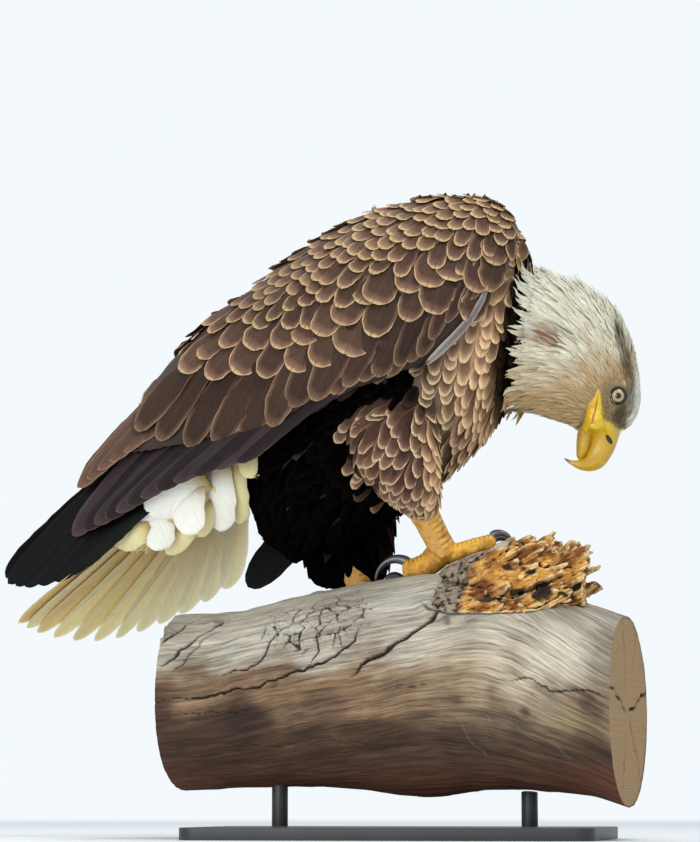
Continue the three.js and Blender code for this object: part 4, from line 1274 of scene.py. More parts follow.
def eyelid(skin, side):
    """The bare rim round the eye: a dark lid on the ball, then a band of skin that dips under the feathers."""
    look = unit(np.array(EYE["look"], float))
    ahead = unit(np.array((1.0, 0, 0)) - look[0] * look)
    above = np.cross(ahead, look)
    rings, count = [], 96
    for a in 2 * pi * np.arange(count + 1) / count:
        way = ahead * cos(a) + above * sin(a)
        opening = 39.5 + 2.2 * cos(2 * a) - 2.0 * max(0.0, sin(a))
        lid = [(0, 10.7), (0.5, 11.6), (3, 12.1), (6.5, 12.2), (10, 11.9), (13.5, 11.3)]
        path = [(look * cos(radians(opening + p)) + way * sin(radians(opening + p))) * r + EYE["at"]
                for p, r in lid]
        for reach, high in ((10.6, 0.5), (12.6, -0.6), (14.5, -2.2)):
            flat = np.array(EYE["at"]) + way * reach + look * 8.3
            lateral = cheek_at(skin, side, flat[[0, 2]][None], flat[1])[0]
            path.append(np.array((flat[0], lateral + high, flat[2])))
        rings.append(path + [path[-1] - (0, 2, 0), path[3] - look * 2.5])
    rings = np.array(rings[:-1])
    sides = rings.shape[1]
    points = rings.reshape(-1, 3) * (1, side, 1)
    faces = strip_faces(count + 1, sides) % (count * sides)
    shade = np.array([0, 0, 0, 0.15, 0.45, 0.7, 1, 1, 1, 1, 0.5])
    colour = blend("#1a1512", tint_of("skin_grey") * 0.8, np.tile(shade, count))
    return on_head(points), [faces if side < 0 else faces[:, ::-1]], opaque(colour)


UPPER_BILL = [((20, 0, 2), (20, 0, -22), 23), ((28, 0, 1.6), (28, 0, -23), 22.5),
    ((33, 0, 0.8), (33, 0, -24), 19.5), ((37.5, 0, 0.2), (36.5, 0, -24.5), 16), ((42, 0, -0.4), (41, 0, -25), 13.8),
    ((49, 0, -1.8), (48, 0, -25.6), 12.4), ((58, 0, -5), (57, 0, -27.5), 11), ((67, 0, -10), (61, 0, -29.5), 9),
    ((72.5, 0, -17), (63, 0, -32), 7), ((74.6, 0, -26), (64.5, 0, -35.5), 5), ((73.5, 0, -35), (65.5, 0, -40), 3.2),
    ((69.5, 0, -44), (65.5, 0, -45), 1.8), ((65.6, 0, -50), (64.4, 0, -50), 0.6),]
LOWER_BILL = [
    ((22, 0, -20), (22, 0, -37), 19), ((30, 0, -20), (30, 0, -39), 17.5), ((36, 0, -20.4), (35, 0, -40), 14),
    ((44, 0, -21), (42, 0, -40.5), 11.3),
    ((56, 0, -24), (54, 0, -39.5), 8.5), ((63, 0, -30), (61.5, 0, -38), 5), ((65, 0, -33), (64, 0, -36), 1.5),
]


def oval(ribs, rings, sides, square=2.2, shape=None):
    """Rings of a form from ribs of (top, low, half-width); shape(t, angle, high, wide) may bend them."""
    t = evenly(rings)
    tops, lows = curve([r[0] for r in ribs], t), curve([r[1] for r in ribs], t)
    half = curve([(r[2], 0, 0) for r in ribs], t)[:, 0]
    angle = 2 * pi * np.arange(sides) / sides
    middle, up = (tops + lows) / 2, (tops - lows) / 2
    power = 2 / square
    high = np.sign(np.sin(angle)) * np.abs(np.sin(angle)) ** power
    wide = np.sign(np.cos(angle)) * np.abs(np.cos(angle)) ** power
    high, wide = np.broadcast_to(high, (rings, sides)), np.broadcast_to(wide, (rings, sides))
    if shape:
        high, wide = shape(t[:, None], angle[None, :], high, wide)
    rows = middle[:, None] + up[:, None] * high[..., None]
    rows = rows + np.array((0, 1.0, 0)) * (half[:, None] * wide)[..., None]
    return rows


def bill_material():
    """Bill horn: keratin sheath over bone, smooth and half-polished; the cere behind it is softer skin."""
    material, add = started("Bill horn, smooth keratin", Roughness=0.34, IOR=1.55, Coat_Weight=0.25,
        Coat_Roughness=0.2, Subsurface_Weight=0.08, Subsurface_Scale=1.0, Subsurface_Radius=(0.004, 0.002, 0.0008))
    tint = add("Attribute", attribute_name="Tint")
    place = add("Attribute", attribute_name="Place")
    growth = add("Mapping", {"Vector": place.outputs["Vector"], "Scale": (0.35, 0.12, 0.12)})
    lines = add("TexNoise", {"Vector": growth, "Scale": 1.0, "Detail": 4.0, "Roughness": 0.6})
    level = add("MapRange", {"Value": lines, "From Min": 0.3, "From Max": 0.7, "To Min": 0.86, "To Max": 1.1})
    toned = add("VectorMath", {0: tint, "Scale": level}, operation="SCALE")
    # Painted shade: the nostril's opening is a near black slit painted over a shallow dent.
    x, z = NOSTRIL["at"]
    off = add("VectorMath", {0: place.outputs["Vector"], 1: (x, 0, z)}, operation="SUBTRACT")
    level = add("VectorRotate", {"Vector": off, "Angle": radians(NOSTRIL["turn"])}, rotation_type="Y_AXIS")
    slit = (1 / NOSTRIL["long"], 0, 1 / NOSTRIL["half"])
    inside = add("VectorMath", {0: level, 1: slit}, operation="MULTIPLY")
    far = add("VectorMath", {0: inside}, operation="LENGTH")
    hole = add("MapRange", {"Value": far, "From Min": 0.82, "From Max": 1.12}, interpolation_type="SMOOTHSTEP")
    marked = add("Mix", {"Factor": hole, 6: linear("#0d0a07"), 7: toned}, data_type="RGBA")
    bump = add("Bump", {"Height": lines, "Strength": 0.25, "Distance": 0.0006})
    return linked(material, Base_Color=marked, Normal=bump)


def bill_marks(place, lower=False):
    """Colours of the bill: orange-yellow cere, yellow horn with painted shade low on its sides and under the lower
    mandible and a painted highlight along its top, and a dark hook tip.
    """
    x, _, z = place.T
    horn, cere = tint_of("horn"), tint_of("cere")
    colour = blend(cere, horn, step(33, 44, x - 0.5 * z - 5))
    # Painted shade: olive darkening low on the horn's sides.
    colour = blend(colour, "#a98022", 0.5 * step(-18, -38, z) * step(60, 30, x))
    # Painted highlight: paler yellow along the top of the bill.
    colour = blend(colour, "#e5c25a", 0.5 * step(-4, 3, z) * step(30, 50, x))
    colour = blend(colour, "#4a463c", step(-41, -48, z) * step(60, 64, x))
    if lower:
        # Painted shade: darker under the lower mandible.
        return blend(colour, "#8d6a2a", 0.6 * step(-33, -40, z))
    return colour


NOSTRIL = {"at": (42.1, -6.4), "turn": 37, "long": 5.0, "half": 2.0}


def nostril_at(place):
    """How far places are from the nostril's middle, 1 at the slit's own edge."""
    turn = radians(NOSTRIL["turn"])
    x, z = (place[:, [0, 2]] - NOSTRIL["at"]).T
    along, off = x * cos(turn) + z * sin(turn), z * cos(turn) - x * sin(turn)
    return np.hypot(along / NOSTRIL["long"], off / NOSTRIL["half"])


# The bare corner of the mouth, from behind the eye to the bill, in the head's frame (x, z).
# The cere's edge is rows of (z, x), and the crease is how far down the fold it lies, by the way along it.
GAPE = {
    "top": [(-4, -17.2), (6, -15.6), (16.5, -13.8), (24, -11.6), (30.8, -9.9), (38, -11), (47, -13)],
    "low": [(-4, -18.8), (4, -21.5), (12, -26.5), (20, -29.5), (28, -31), (36, -33), (46, -34)],
    "crease": [(0, 0.6), (0.4, 0.5), (0.75, 0.6), (1, 0.62)],
    "cere": [(-45, 44), (-34, 38), (-31, 28), (-28, 24), (-9.4, 30.8), (-3.4, 34), (2.9, 37.3), (8, 38.5)],
}


def gape(skin, side):
    """The yellow corner of the mouth: a soft fold on the cheek, creased along the line where the bill shuts."""
    stations, across = 64, 25
    shares, t = evenly(across)[None, :], evenly(stations)[:, None]
    top, low = curve(GAPE["top"], t[:, 0]), curve(GAPE["low"], t[:, 0])
    grid = top[:, None] + (low - top)[:, None] * shares[..., None]
    cheek = cheek_at(skin, side, grid.reshape(-1, 2), 0.0).reshape(stations, across)
    horn = np.interp(grid[..., 0], [20, 28, 33, 37.5, 42, 49], [23, 22.5, 19.5, 16, 13.8, 12.4])
    horn = horn * np.clip(1 - np.abs((grid[..., 1] + 19.5) / 20.5) ** 3, 0.05, 1) ** (1 / 3)
    lateral = np.maximum(cheek, horn)
    for _ in range(6):
        lateral[1:-1] = (lateral[:-2] + 2 * lateral[1:-1] + lateral[2:]) / 4
    fold = 0.5 + 1.5 * np.sin(pi * (shares * 0.92 + 0.04)) ** 0.6 * step(0, 0.25, t + 0.05)
    line = read_off(t, GAPE["crease"])
    crease = bell(shares - line, 0.06) * step(0.02, 0.2, t)
    lateral = lateral + fold * (1 - 0.75 * step(0.55, 0.85, t)) - 1.0 * crease - 7 * step(0.79, 0.9, t)
    lateral = np.maximum(lateral, cheek + 0.6 - 10 * step(0.78, 0.88, t))
    outer = np.stack([grid[..., 0], side * lateral, grid[..., 1]], -1)
    inner = np.stack([grid[..., 0], side * (np.minimum(lateral, cheek + 5) - 4.0), grid[..., 1]], -1)
    points, faces = tube_mesh(np.concatenate([outer, inner[:, ::-1]], 1))
    colour = blend("#e2b11f", "gape", step(0.15, -0.15, shares - line + 0.1) + 0 * t)
    colour = blend(colour, "#cf9a22", 0.6 * step(0.72, 0.95, shares) + 0 * t)
    # Painted shade: a dark line in the crease where the bill shuts.
    colour = blend(colour, "#3f270e", 0.9 * bell(shares - line, 0.045) * step(0.02, 0.15, t))
    colour = blend(colour, "#b98a2e", 0.5 * step(0.12, 0, t) + 0 * shares)
    colour = blend(colour, "cere", 0.85 * step(0.55, 0.8, t) + 0 * shares)
    colour = np.concatenate([colour, colour[:, ::-1]], 1).reshape(-1, 3)
    colour = np.vstack([colour, colour[[0, -1]]])
    return points, faces, opaque(colour)


def bill(skin):
    material = bill_material()

    def upper_shape(t, angle, high, wide):
        ridge = 1 - 0.16 * step(0.35, 1, np.sin(angle)) * step(0.1, 0.5, t)
        edge = 1 + 0.06 * bell(np.sin(angle) + 0.75, 0.2) * step(0.9, 0.5, t)
        return high, wide * ridge * edge

    points, faces = tube_mesh(oval(UPPER_BILL, 150, 120, 2.4, upper_shape))
    dent = step(1.25, 0.5, nostril_at(points)) * (np.abs(points[:, 1]) > 6)
    points[:, 1] -= np.sign(points[:, 1]) * 2.2 * dent
    swell = 0.8 * bell(points[:, 0] - 36 + 0.2 * points[:, 2], 8) * step(-20, -8, points[:, 2])
    points[:, 1] += np.sign(points[:, 1]) * swell
    forms, tints = [(points, faces)], [np.c_[bill_marks(points), np.ones(len(points))]]
    for side in (-1, 1):
        form = gape(skin, side)
        forms.append((form[0], form[1] if side > 0 else [f[:, ::-1] for f in form[1]]))
        tints.append(form[2])
    points, faces = merged(forms)
    made = build("bill_upper_horn", on_head(points), faces, {"Tint": np.vstack(tints), "Place": points})
    place_piece(made, material, "yellow_horn", "bill_upper")

    def lower_shape(t, angle, high, wide):
        return np.where(high > 0, high * 0.75, high), wide

    points, faces = tube_mesh(oval(LOWER_BILL, 60, 64, 2.2, lower_shape))
    tint = np.c_[bill_marks(points, True), np.ones(len(points))]
    made = build("bill_lower_horn", on_head(points), faces, {"Tint": tint, "Place": points})
    return place_piece(made, material, "yellow_horn", "bill_lower")


def tube_rings(path, radius, sides, squash=1.0, guide=(0, 0, 1)):
    """Round sections along a path; squash flattens them across the guide."""
    way = unit(np.gradient(path, axis=0))
    side = unit(np.cross(way, np.broadcast_to(guide, path.shape)))
    up = np.cross(side, way)
    angle = 2 * pi * np.arange(sides) / sides
    radius = np.broadcast_to(np.asarray(radius, float), (len(path),))
    return (path[:, None] + side[:, None] * (radius[:, None] * squash * np.cos(angle))[..., None]
            + up[:, None] * (radius[:, None] * np.sin(angle))[..., None])


# ---------------------------------------------------------------- feet and claws
ANKLES = {"right": (47, -38, 278), "left": (-47, 36, 239)}
SHANKS = {"right": ((28, -62, 322), (46, -40, 282), 12.5), "left": ((-57, 44, 268), (-48, 37, 244), 12)}
TOES = {"right": {"hallux": (176, 41, 11.5, 21), "inner": (54, 42, 8.5, 17), "middle": (21, 54, 8.5, 12.5),
    "outer": (-2, 53, 8.5, 12.5)}, "left": {"hallux": (178, 38, 11, 21), "inner": (-34, 40, 8.5, 17),
    "middle": (-3, 54, 8.5, 14), "outer": (22, 48, 8.5, 13.5)},}
TALON = {"sweep": 136, "start": -38, "girth": 5}


def perch_tree():
    """The solid log and stub, for the toes to rest on."""
    points, (triangles,) = merged([(p, [t]) for p, t in map(solid_of, ("perch_log", "perch_stub"))])
    return tree_of(points, triangles)


def toe_path(side, toe, perch, shares):
    """A toe's line, arching from the foot down to what it grips."""
    aim, reach, radius, _ = TOES[side][toe]
    foot = np.array(ANKLES[side], float)
    path = []
    for t in shares:
        x = foot[0] + reach * t * cos(radians(aim))
        y = foot[1] + reach * t * sin(radians(aim))
        hit = perch.ray_cast((x, y, 500), (0, 0, -1))[0]
        rest = (hit.z if hit else 200) + radius * 0.66
        path.append((x, y, rest + max(0, foot[2] - rest) * (1 - t) ** 2.5))
    return np.array(path)


def talon(side, toe, perch):
    _, _, radius, bend = TOES[side][toe]
    before, end = toe_path(side, toe, perch, (0.75, 1.0))
    ahead = unit((end - before) * (1, 1, 0))
    up = np.array((0, 0, 1.0))
    root = end + up * radius * 0.62 - ahead * radius * 0.6
    start = radians(TALON["start"])
    centre = root - (ahead * sin(start) + up * cos(start)) * bend
    t = evenly(40)
    angle = start + radians(TALON["sweep"]) * t
    path = centre + (ahead * np.sin(angle)[:, None] + up * np.cos(angle)[:, None]) * bend
    girth = TALON["girth"] * sqrt(bend / 18) * (1 - 0.9 * t**1.25) * (0.86 + 0.14 * step(0, 0.1, t))
    rings = tube_rings(path, girth, 24, squash=0.8)
    points, faces = tube_mesh(rings)
    along = np.r_[np.repeat(t, 24), 0, 1]
    made = build(f"claw_{side}_{toe}", points, faces, {"Along": along})
    return made


def claw_material():
    """Claw horn: blue-black keratin, polished by wear, paler and scuffed along its root."""
    material, add = started("Claw horn, polished black keratin", Roughness=0.28, IOR=1.55, Coat_Weight=0.4,
        Coat_Roughness=0.15)
    along = add("Attribute", attribute_name="Along")
    place = add("TexCoord")
    scuff = add("TexNoise", {"Vector": place.outputs["Object"], "Scale": 420.0, "Detail": 4.0})
    mixed = add("Math", {0: scuff, 1: 0.5, 2: along.outputs["Fac"]}, operation="MULTIPLY_ADD")
    ramp = graded(add("ValToRGB", {"Fac": mixed}), (0.2, tint_of("claw")), (0.75, tint_of("claw_root")))
    bump = add("Bump", {"Height": scuff, "Strength": 0.15, "Distance": 0.0005})
    return linked(material, Base_Color=ramp, Normal=bump)


def toe_form(side, toe, perch):
    """One toe with scutes across its top and pads under its joints."""
    _, reach, radius, _ = TOES[side][toe]
    rings, sides = 90, 48
    t = evenly(rings)
    path = toe_path(side, toe, perch, t)
    kernel = np.ones(9) / 9
    padded = np.pad(path, ((4, 4), (0, 0)), mode="edge")
    path = np.stack([np.convolve(padded[:, k], kernel, "valid") for k in range(3)], -1)
    size = radius * (1.08 - 0.22 * t) * np.sqrt(np.clip(1 - np.clip((t - 0.86) / 0.14, 0, 1) ** 2, 0.02, 1))
    rows = tube_rings(path, size, sides)
    angle = 2 * pi * np.arange(sides) / sides
    top = step(0.15, 0.75, np.sin(angle))[None, :]
    scute = 0.5 + 0.5 * np.cos(2 * pi * t * reach / 4.6)[:, None]
    plate = 0.55 * (1 - (1 - scute) ** 3) * top
    pad = 1.5 * bell((t[:, None] % 0.36) - 0.2, 0.09) * step(0.1, 0.8, -np.sin(angle))[None, :]
    centre = path[:, None]
    out = unit(rows - centre)
    knobs = 0.35 * grain(rows, 2.6, 3) * (1 - top)
    rows = rows + out * (plate + pad + knobs)[..., None]
    return tube_mesh(rows)


def shank_form(side):
    start, end, radius = SHANKS[side]
    start, end = np.array(start, float), np.array(end, float)
    rings, sides = 60, 56
    t = evenly(rings)
    path = start + (end - start) * (t * 1.12)[:, None]
    rows = tube_rings(path, radius * (1.22 - 0.42 * t + 0.32 * t**3), sides, guide=(0, 1, 0))
    out = unit(rows - path[:, None])
    return tube_mesh(rows + out * (0.4 * grain(rows, 3.2, 8))[..., None])


def foot_marks(side, perch, points, normals):
    """Tint of a foot and how deep the grooves between its scutes are."""
    start, end = np.array(SHANKS[side][0], float), np.array(SHANKS[side][1], float)
    paths = [start + (end - start) * evenly(20)[:, None]]
    paths += [toe_path(side, toe, perch, 0.16 + 0.84 * evenly(20)) for toe in TOES[side]]
    far = np.stack([np.sqrt(((points[:, None] - path[None]) ** 2).sum(-1)) for path in paths], 1)
    which = far.min(2).argmin(1)
    way = np.array([unit(path[-1] - path[0]) for path in paths])[which]
    start = np.array([path[0] for path in paths])[which]
    along = ((points - start) * way).sum(1)
    pitch = np.where(which == 0, 6.0, 4.4)
    wave = np.abs(((along / pitch + 0.12 * grain(points, 6, 31)) % 1) - 0.5) * 2
    on_top = np.where(which == 0, step(0.1, 0.6, normals[:, 0]), step(0.15, 0.6, normals[:, 2]))
    groove = step(0.72, 1.0, wave) * on_top
    toe_tone, leg_tone = tint_of("toe"), tint_of("leg")
    colour = blend(np.broadcast_to(toe_tone, points.shape), np.broadcast_to(leg_tone, points.shape),
        1.0 * (which == 0))
    # Painted light: paler scutes on the toes' tops and the shank's front, which face the light.
    colour = blend(colour, "#f7cb55", 0.6 * step(0.1, 0.8, on_top * (1 - wave)))
    colour = blend(colour, "#bd7422", 0.6 * step(0.15, 0.7, layered(points, 9, 3, 32)))
    # Painted shade: the undersides of the toes darker.
    colour = blend(colour, "#7a4716", 0.6 * step(0.2, -0.7, normals[:, 2]) * (which > 0))
    # Painted shade in the grooves between the scutes.
    colour = blend(colour, "groove", 0.8 * groove)
    return colour, groove


def foot(side, perch, material):
    """Shank, sole and four toes as one scaled piece."""
    forms = [toe_form(side, toe, perch) for toe in TOES[side]]
    forms.append(shank_form(side))
    forms.append(ball(ANKLES[side], 1.0, 40, 30, squash=(16.5, 13.5, 11.5)))
    points, faces = merged(forms)
    voxel = bpy.context.scene.eagle_bare.foot_voxel / MM
    points, normals, corners = resurfaced(points, triangles_of(faces), voxel, 3)
    colour, groove = foot_marks(side, perch, points, normals)
    points = points + normals * (0.25 * grain(points, 1.8, 5) - 0.55 * groove)[:, None]
    made = build(f"foot_{side}_scaled", points, [corners], {"Tint": opaque(colour)})
    return place_piece(made, material, "yellow_scale", f"foot_{side}")


def scale_material():
    """Foot skin: raised scutes and pebbled scales 1.5 mm across, dry, with painted shade in the grooves."""
    material, add = started("Scaled foot skin, dry keratin", Roughness=0.5, IOR=1.5, Subsurface_Weight=0.1,
        Subsurface_Radius=(0.004, 0.002, 0.001), Subsurface_Scale=1.0)
    tint = add("Attribute", attribute_name="Tint")
    place = add("TexCoord")
    scales = add("TexVoronoi", {"Vector": place.outputs["Object"], "Scale": 560.0}, feature="DISTANCE_TO_EDGE")
    # Painted shade: the tint darkens towards each scale's edge.
    groove = add("MapRange", {"Value": scales, "From Min": 0.0, "From Max": 0.2, "To Min": 0.62})
    toned = add("VectorMath", {0: tint, "Scale": groove}, operation="SCALE")
    bump = add("Bump", {"Height": groove, "Strength": 0.6, "Distance": 0.0008})
    return linked(material, Base_Color=toned, Normal=bump)


# ---------------------------------------------------------------- perch
PERCH = {"turn": -6, "y": -25}
LOG = [
    (-222, 224, 46, 86), (-160, 227, 50, 90), (-99, 239, 51, 92), (-38, 250, 47, 95), (30, 257, 38, 99),
    (84, 252, 44, 99), (136, 242, 44, 97), (190, 228, 38, 95), (228, 214, 28, 92),
]
STUB = [
    (34, 255, 216, 24), (52, 268, 212, 36), (82, 279, 210, 46), (112, 284, 208, 50), (144, 283, 206, 50),
    (170, 275, 206, 46),
]
# Drying cracks on the log's right side as x and z, with their depth and half-width; its left side mirrors some.
CRACKS = [([(-222, 132), (-182, 136), (-141, 143), (-100, 151), (-60, 165), (-46, 170), (-31, 181), (-16, 189),
    (-11, 208)], 4.5, 1.0), ([(-60, 165), (-56, 180), (-60, 196), (-50, 210)], 3.5, 0.8),
    ([(-31, 181), (-38, 196), (-30, 206)], 3, 0.7), ([(-218, 166), (-196, 185), (-174, 203), (-152, 218)], 4, 1.0),
    ([(-205, 160), (-185, 182), (-160, 206)], 2.5, 0.7),
    ([(-25, 152), (0, 172), (19, 184), (40, 197), (56, 210), (66, 222)], 5.5, 1.5),
    ([(134, 149), (150, 152), (172, 139), (209, 139), (228, 131)], 3, 0.8),
    ([(-183, 157), (-126, 164), (-112, 176), (-103, 196), (-95, 205), (-75, 214)], 3.5, 0.8),
    ([(-222, 186), (-205, 206), (-190, 219)], 3.5, 0.9), ([(-222, 118), (-170, 120), (-120, 124)], 2.0, 0.6),
    ([(20, 141), (44, 143), (60, 148)], 2.0, 0.6), ([(-200, 95), (-120, 88), (-40, 92), (30, 86)], 1.6, 0.6),
    ([(-160, 70), (-60, 64), (10, 62)], 1.6, 0.6),]
# Raised tracks left by beetles under the bark.
TRACKS = [[(93, 148), (97, 134), (106, 121), (114, 114), (117, 100)],
    [(78, 121), (86, 110), (92, 98), (100, 88), (112, 74)], [(132, 163), (144, 150), (158, 146), (170, 150),
    (184, 144)], [(168, 94), (178, 88), (188, 72)], [(140, 106), (150, 98), (160, 92)],]
# The raised lip of bark under the stub.
LIPS = [([(38, 229), (52, 219), (72, 213), (110, 212), (150, 214), (188, 222)], 4.6, 6.5)]
KNOTS = [(-222, 198, 8), (-98, 146, 6), (150, 118, 7), (-168, 212, 7), (72, 206, 5)]


def on_perch(points):
    turn = np.array(Matrix.Rotation(radians(PERCH["turn"]), 3, "Z"))
    return points @ turn.T + (0, PERCH["y"], 0)


def perch_rows(rows, rings, sides, square=2.1):
    ribs = [((x, 0, top), (x, 0, low), half) for x, top, low, half in rows]
    return oval(ribs, rings, sides, square)


def way_round(rows):
    """How far each point lies round the log from its top, positive on the right side."""
    sides = rows.shape[1]
    gaps = np.linalg.norm(np.diff(np.concatenate([rows, rows[:, :1]], 1), axis=1), axis=-1)
    run = np.concatenate([np.zeros((len(rows), 1)), np.cumsum(gaps, 1)[:, :-1]], 1)
    whole = gaps.sum(1, keepdims=True)
    arc = run - run[:, sides // 4 : sides // 4 + 1]
    return np.where(arc > whole / 2, arc - whole, arc)


def arc_at(arc, rows, x, z, mirror=False):
    """A place on the log's right side, or mirrored on its left, as x and the way round."""
    sides = rows.shape[1]
    x = -x if mirror else x
    i = int(np.abs(rows[:, 0, 0] - x).argmin())
    half = np.arange(sides // 4, 3 * sides // 4)
    if mirror:
        half = (sides // 2 - half) % sides
    return x, arc[i, half[int(np.abs(rows[i, half, 2] - z).argmin())]]


def near_line(x, arc, line, rows, mirror=False):
    """Distance of every point from a line of (x, z) on the log, and how far along the line that is."""
    points = [arc_at(arc, rows, px, pz, mirror) for px, pz in line]
    best, along = np.full(x.shape, 1e3), np.zeros(x.shape)
    for k, (a, b) in enumerate(zip(points[:-1], points[1:])):
        a, b = np.array(a), np.array(b)
        way = b - a
        t = np.clip(((x - a[0]) * way[0] + (arc - a[1]) * way[1]) / (way @ way), 0, 1)
        apart = np.hypot(x - a[0] - t * way[0], arc - a[1] - t * way[1])
        nearer = apart < best
        best, along = np.where(nearer, apart, best), np.where(nearer, (k + t) / (len(points) - 1), along)
    return best, along


def crackle_at(flat, width=0.12):
    """1 along the edges of a net of irregular cells."""
    rng = np.random.default_rng(12)
    offsets = rng.random((64, 64, 2))
    base = np.floor(flat)
    first, second = np.full(flat.shape[:-1], 9.0), np.full(flat.shape[:-1], 9.0)
    for dx in (-1, 0, 1):
        for dy in (-1, 0, 1):
            at = base + (dx, dy)
            point = at + offsets[at[..., 0].astype(int) % 64, at[..., 1].astype(int) % 64]
            apart = np.linalg.norm(flat - point, axis=-1)
            second = np.minimum(np.maximum(first, apart), second)
            first = np.minimum(first, apart)
    return step(width, 0.02, second - first)


def calm_near_feet(rows):
    """Less relief where the feet grip, so that the toes meet the wood."""
    places = on_perch(rows.reshape(-1, 3)).reshape(rows.shape)
    calm = np.ones(rows.shape[:-1])
    for x, y, _ in ANKLES.values():
        apart = np.hypot(places[..., 0] - x, places[..., 1] - y)
        calm = np.minimum(calm, np.where(places[..., 2] > 200, 0.3 + 0.7 * step(25, 70, apart), 1))
    return calm


def grain_flow(rows, arc):
    """The grain's own coordinates: along the log, but rising over the root of the broken limb."""
    x = rows[..., 0]
    rise = 62 * bell(x - 118, 66) * np.exp(-np.abs(arc) / 120)
    wander = 3 * grain(rows, 60, 6) + 0.8 * grain(rows, 14, 16)
    return np.stack([x + 6 * grain(rows, 30, 15), arc + (rise + wander) * np.sign(arc + 1e-6), 0 * x], -1)


def log_tones(rows, flow):
    """Weathered grey above and brown on the sides, whitish where the sun bleached it; below, dark brown, partly
    painted shade, and pale below the stub, partly painted light.
    """
    x, z = rows[..., 0], rows[..., 2]
    streak = 0.55 * layered(flow * (0.05, 1, 1), 8, 4, 41) + 0.45 * layered(flow * (0.12, 1, 1), 3.5, 3, 42)
    cloud = layered(rows, 45, 3, 43)
    grey, brown, dark = (
        blend(f"{name}_dark", f"{name}_pale", 0.5 + 0.5 * np.clip(fine * streak + broad * cloud, -1, 1))
        for name, fine, broad in (("grey", 0.7, 0.7), ("brown", 0.8, 0.7), ("shade", 1, 0.5))
    )
    edge = z + 18 * cloud + 6 * streak
    colour = blend(grey, brown, 0.95 * step(186, 150, edge - 0.05 * x))
    # Partly painted shade: the underside goes dark brown.
    colour = blend(colour, dark, 0.9 * step(132, 98, edge + 0.06 * x))
    # Patches of tone; the pale ones below the stub are partly painted light.
    for at, size, code, share in (((120, 150), (66, 34), "#cbb691", 0.75), ((168, 160), (52, 36), "#dcd6c1", 0.9),
            ((20, 226), (34, 14), "#d0ccc0", 0.7), ((205, 112), (40, 16), "#a8946c", 0.8),
            ((-150, 205), (50, 16), "#c9c2b1", 0.5), ((222, 170), (16, 40), "#7d766b", 0.6),):
        spot = np.exp(-(((x - at[0]) / size[0]) ** 2) - ((z - at[1]) / size[1]) ** 2)
        colour = blend(colour, tone(code), share * np.clip(spot * (1 + 0.8 * cloud + 0.4 * streak), 0, 1))
    return blend(colour, "#744530", 0.7 * step(78, 50, z + 6 * cloud))


def lip_height(x):
    """Height of the raised lip under the broken limb."""
    return read_off(x, LIPS[0][0])


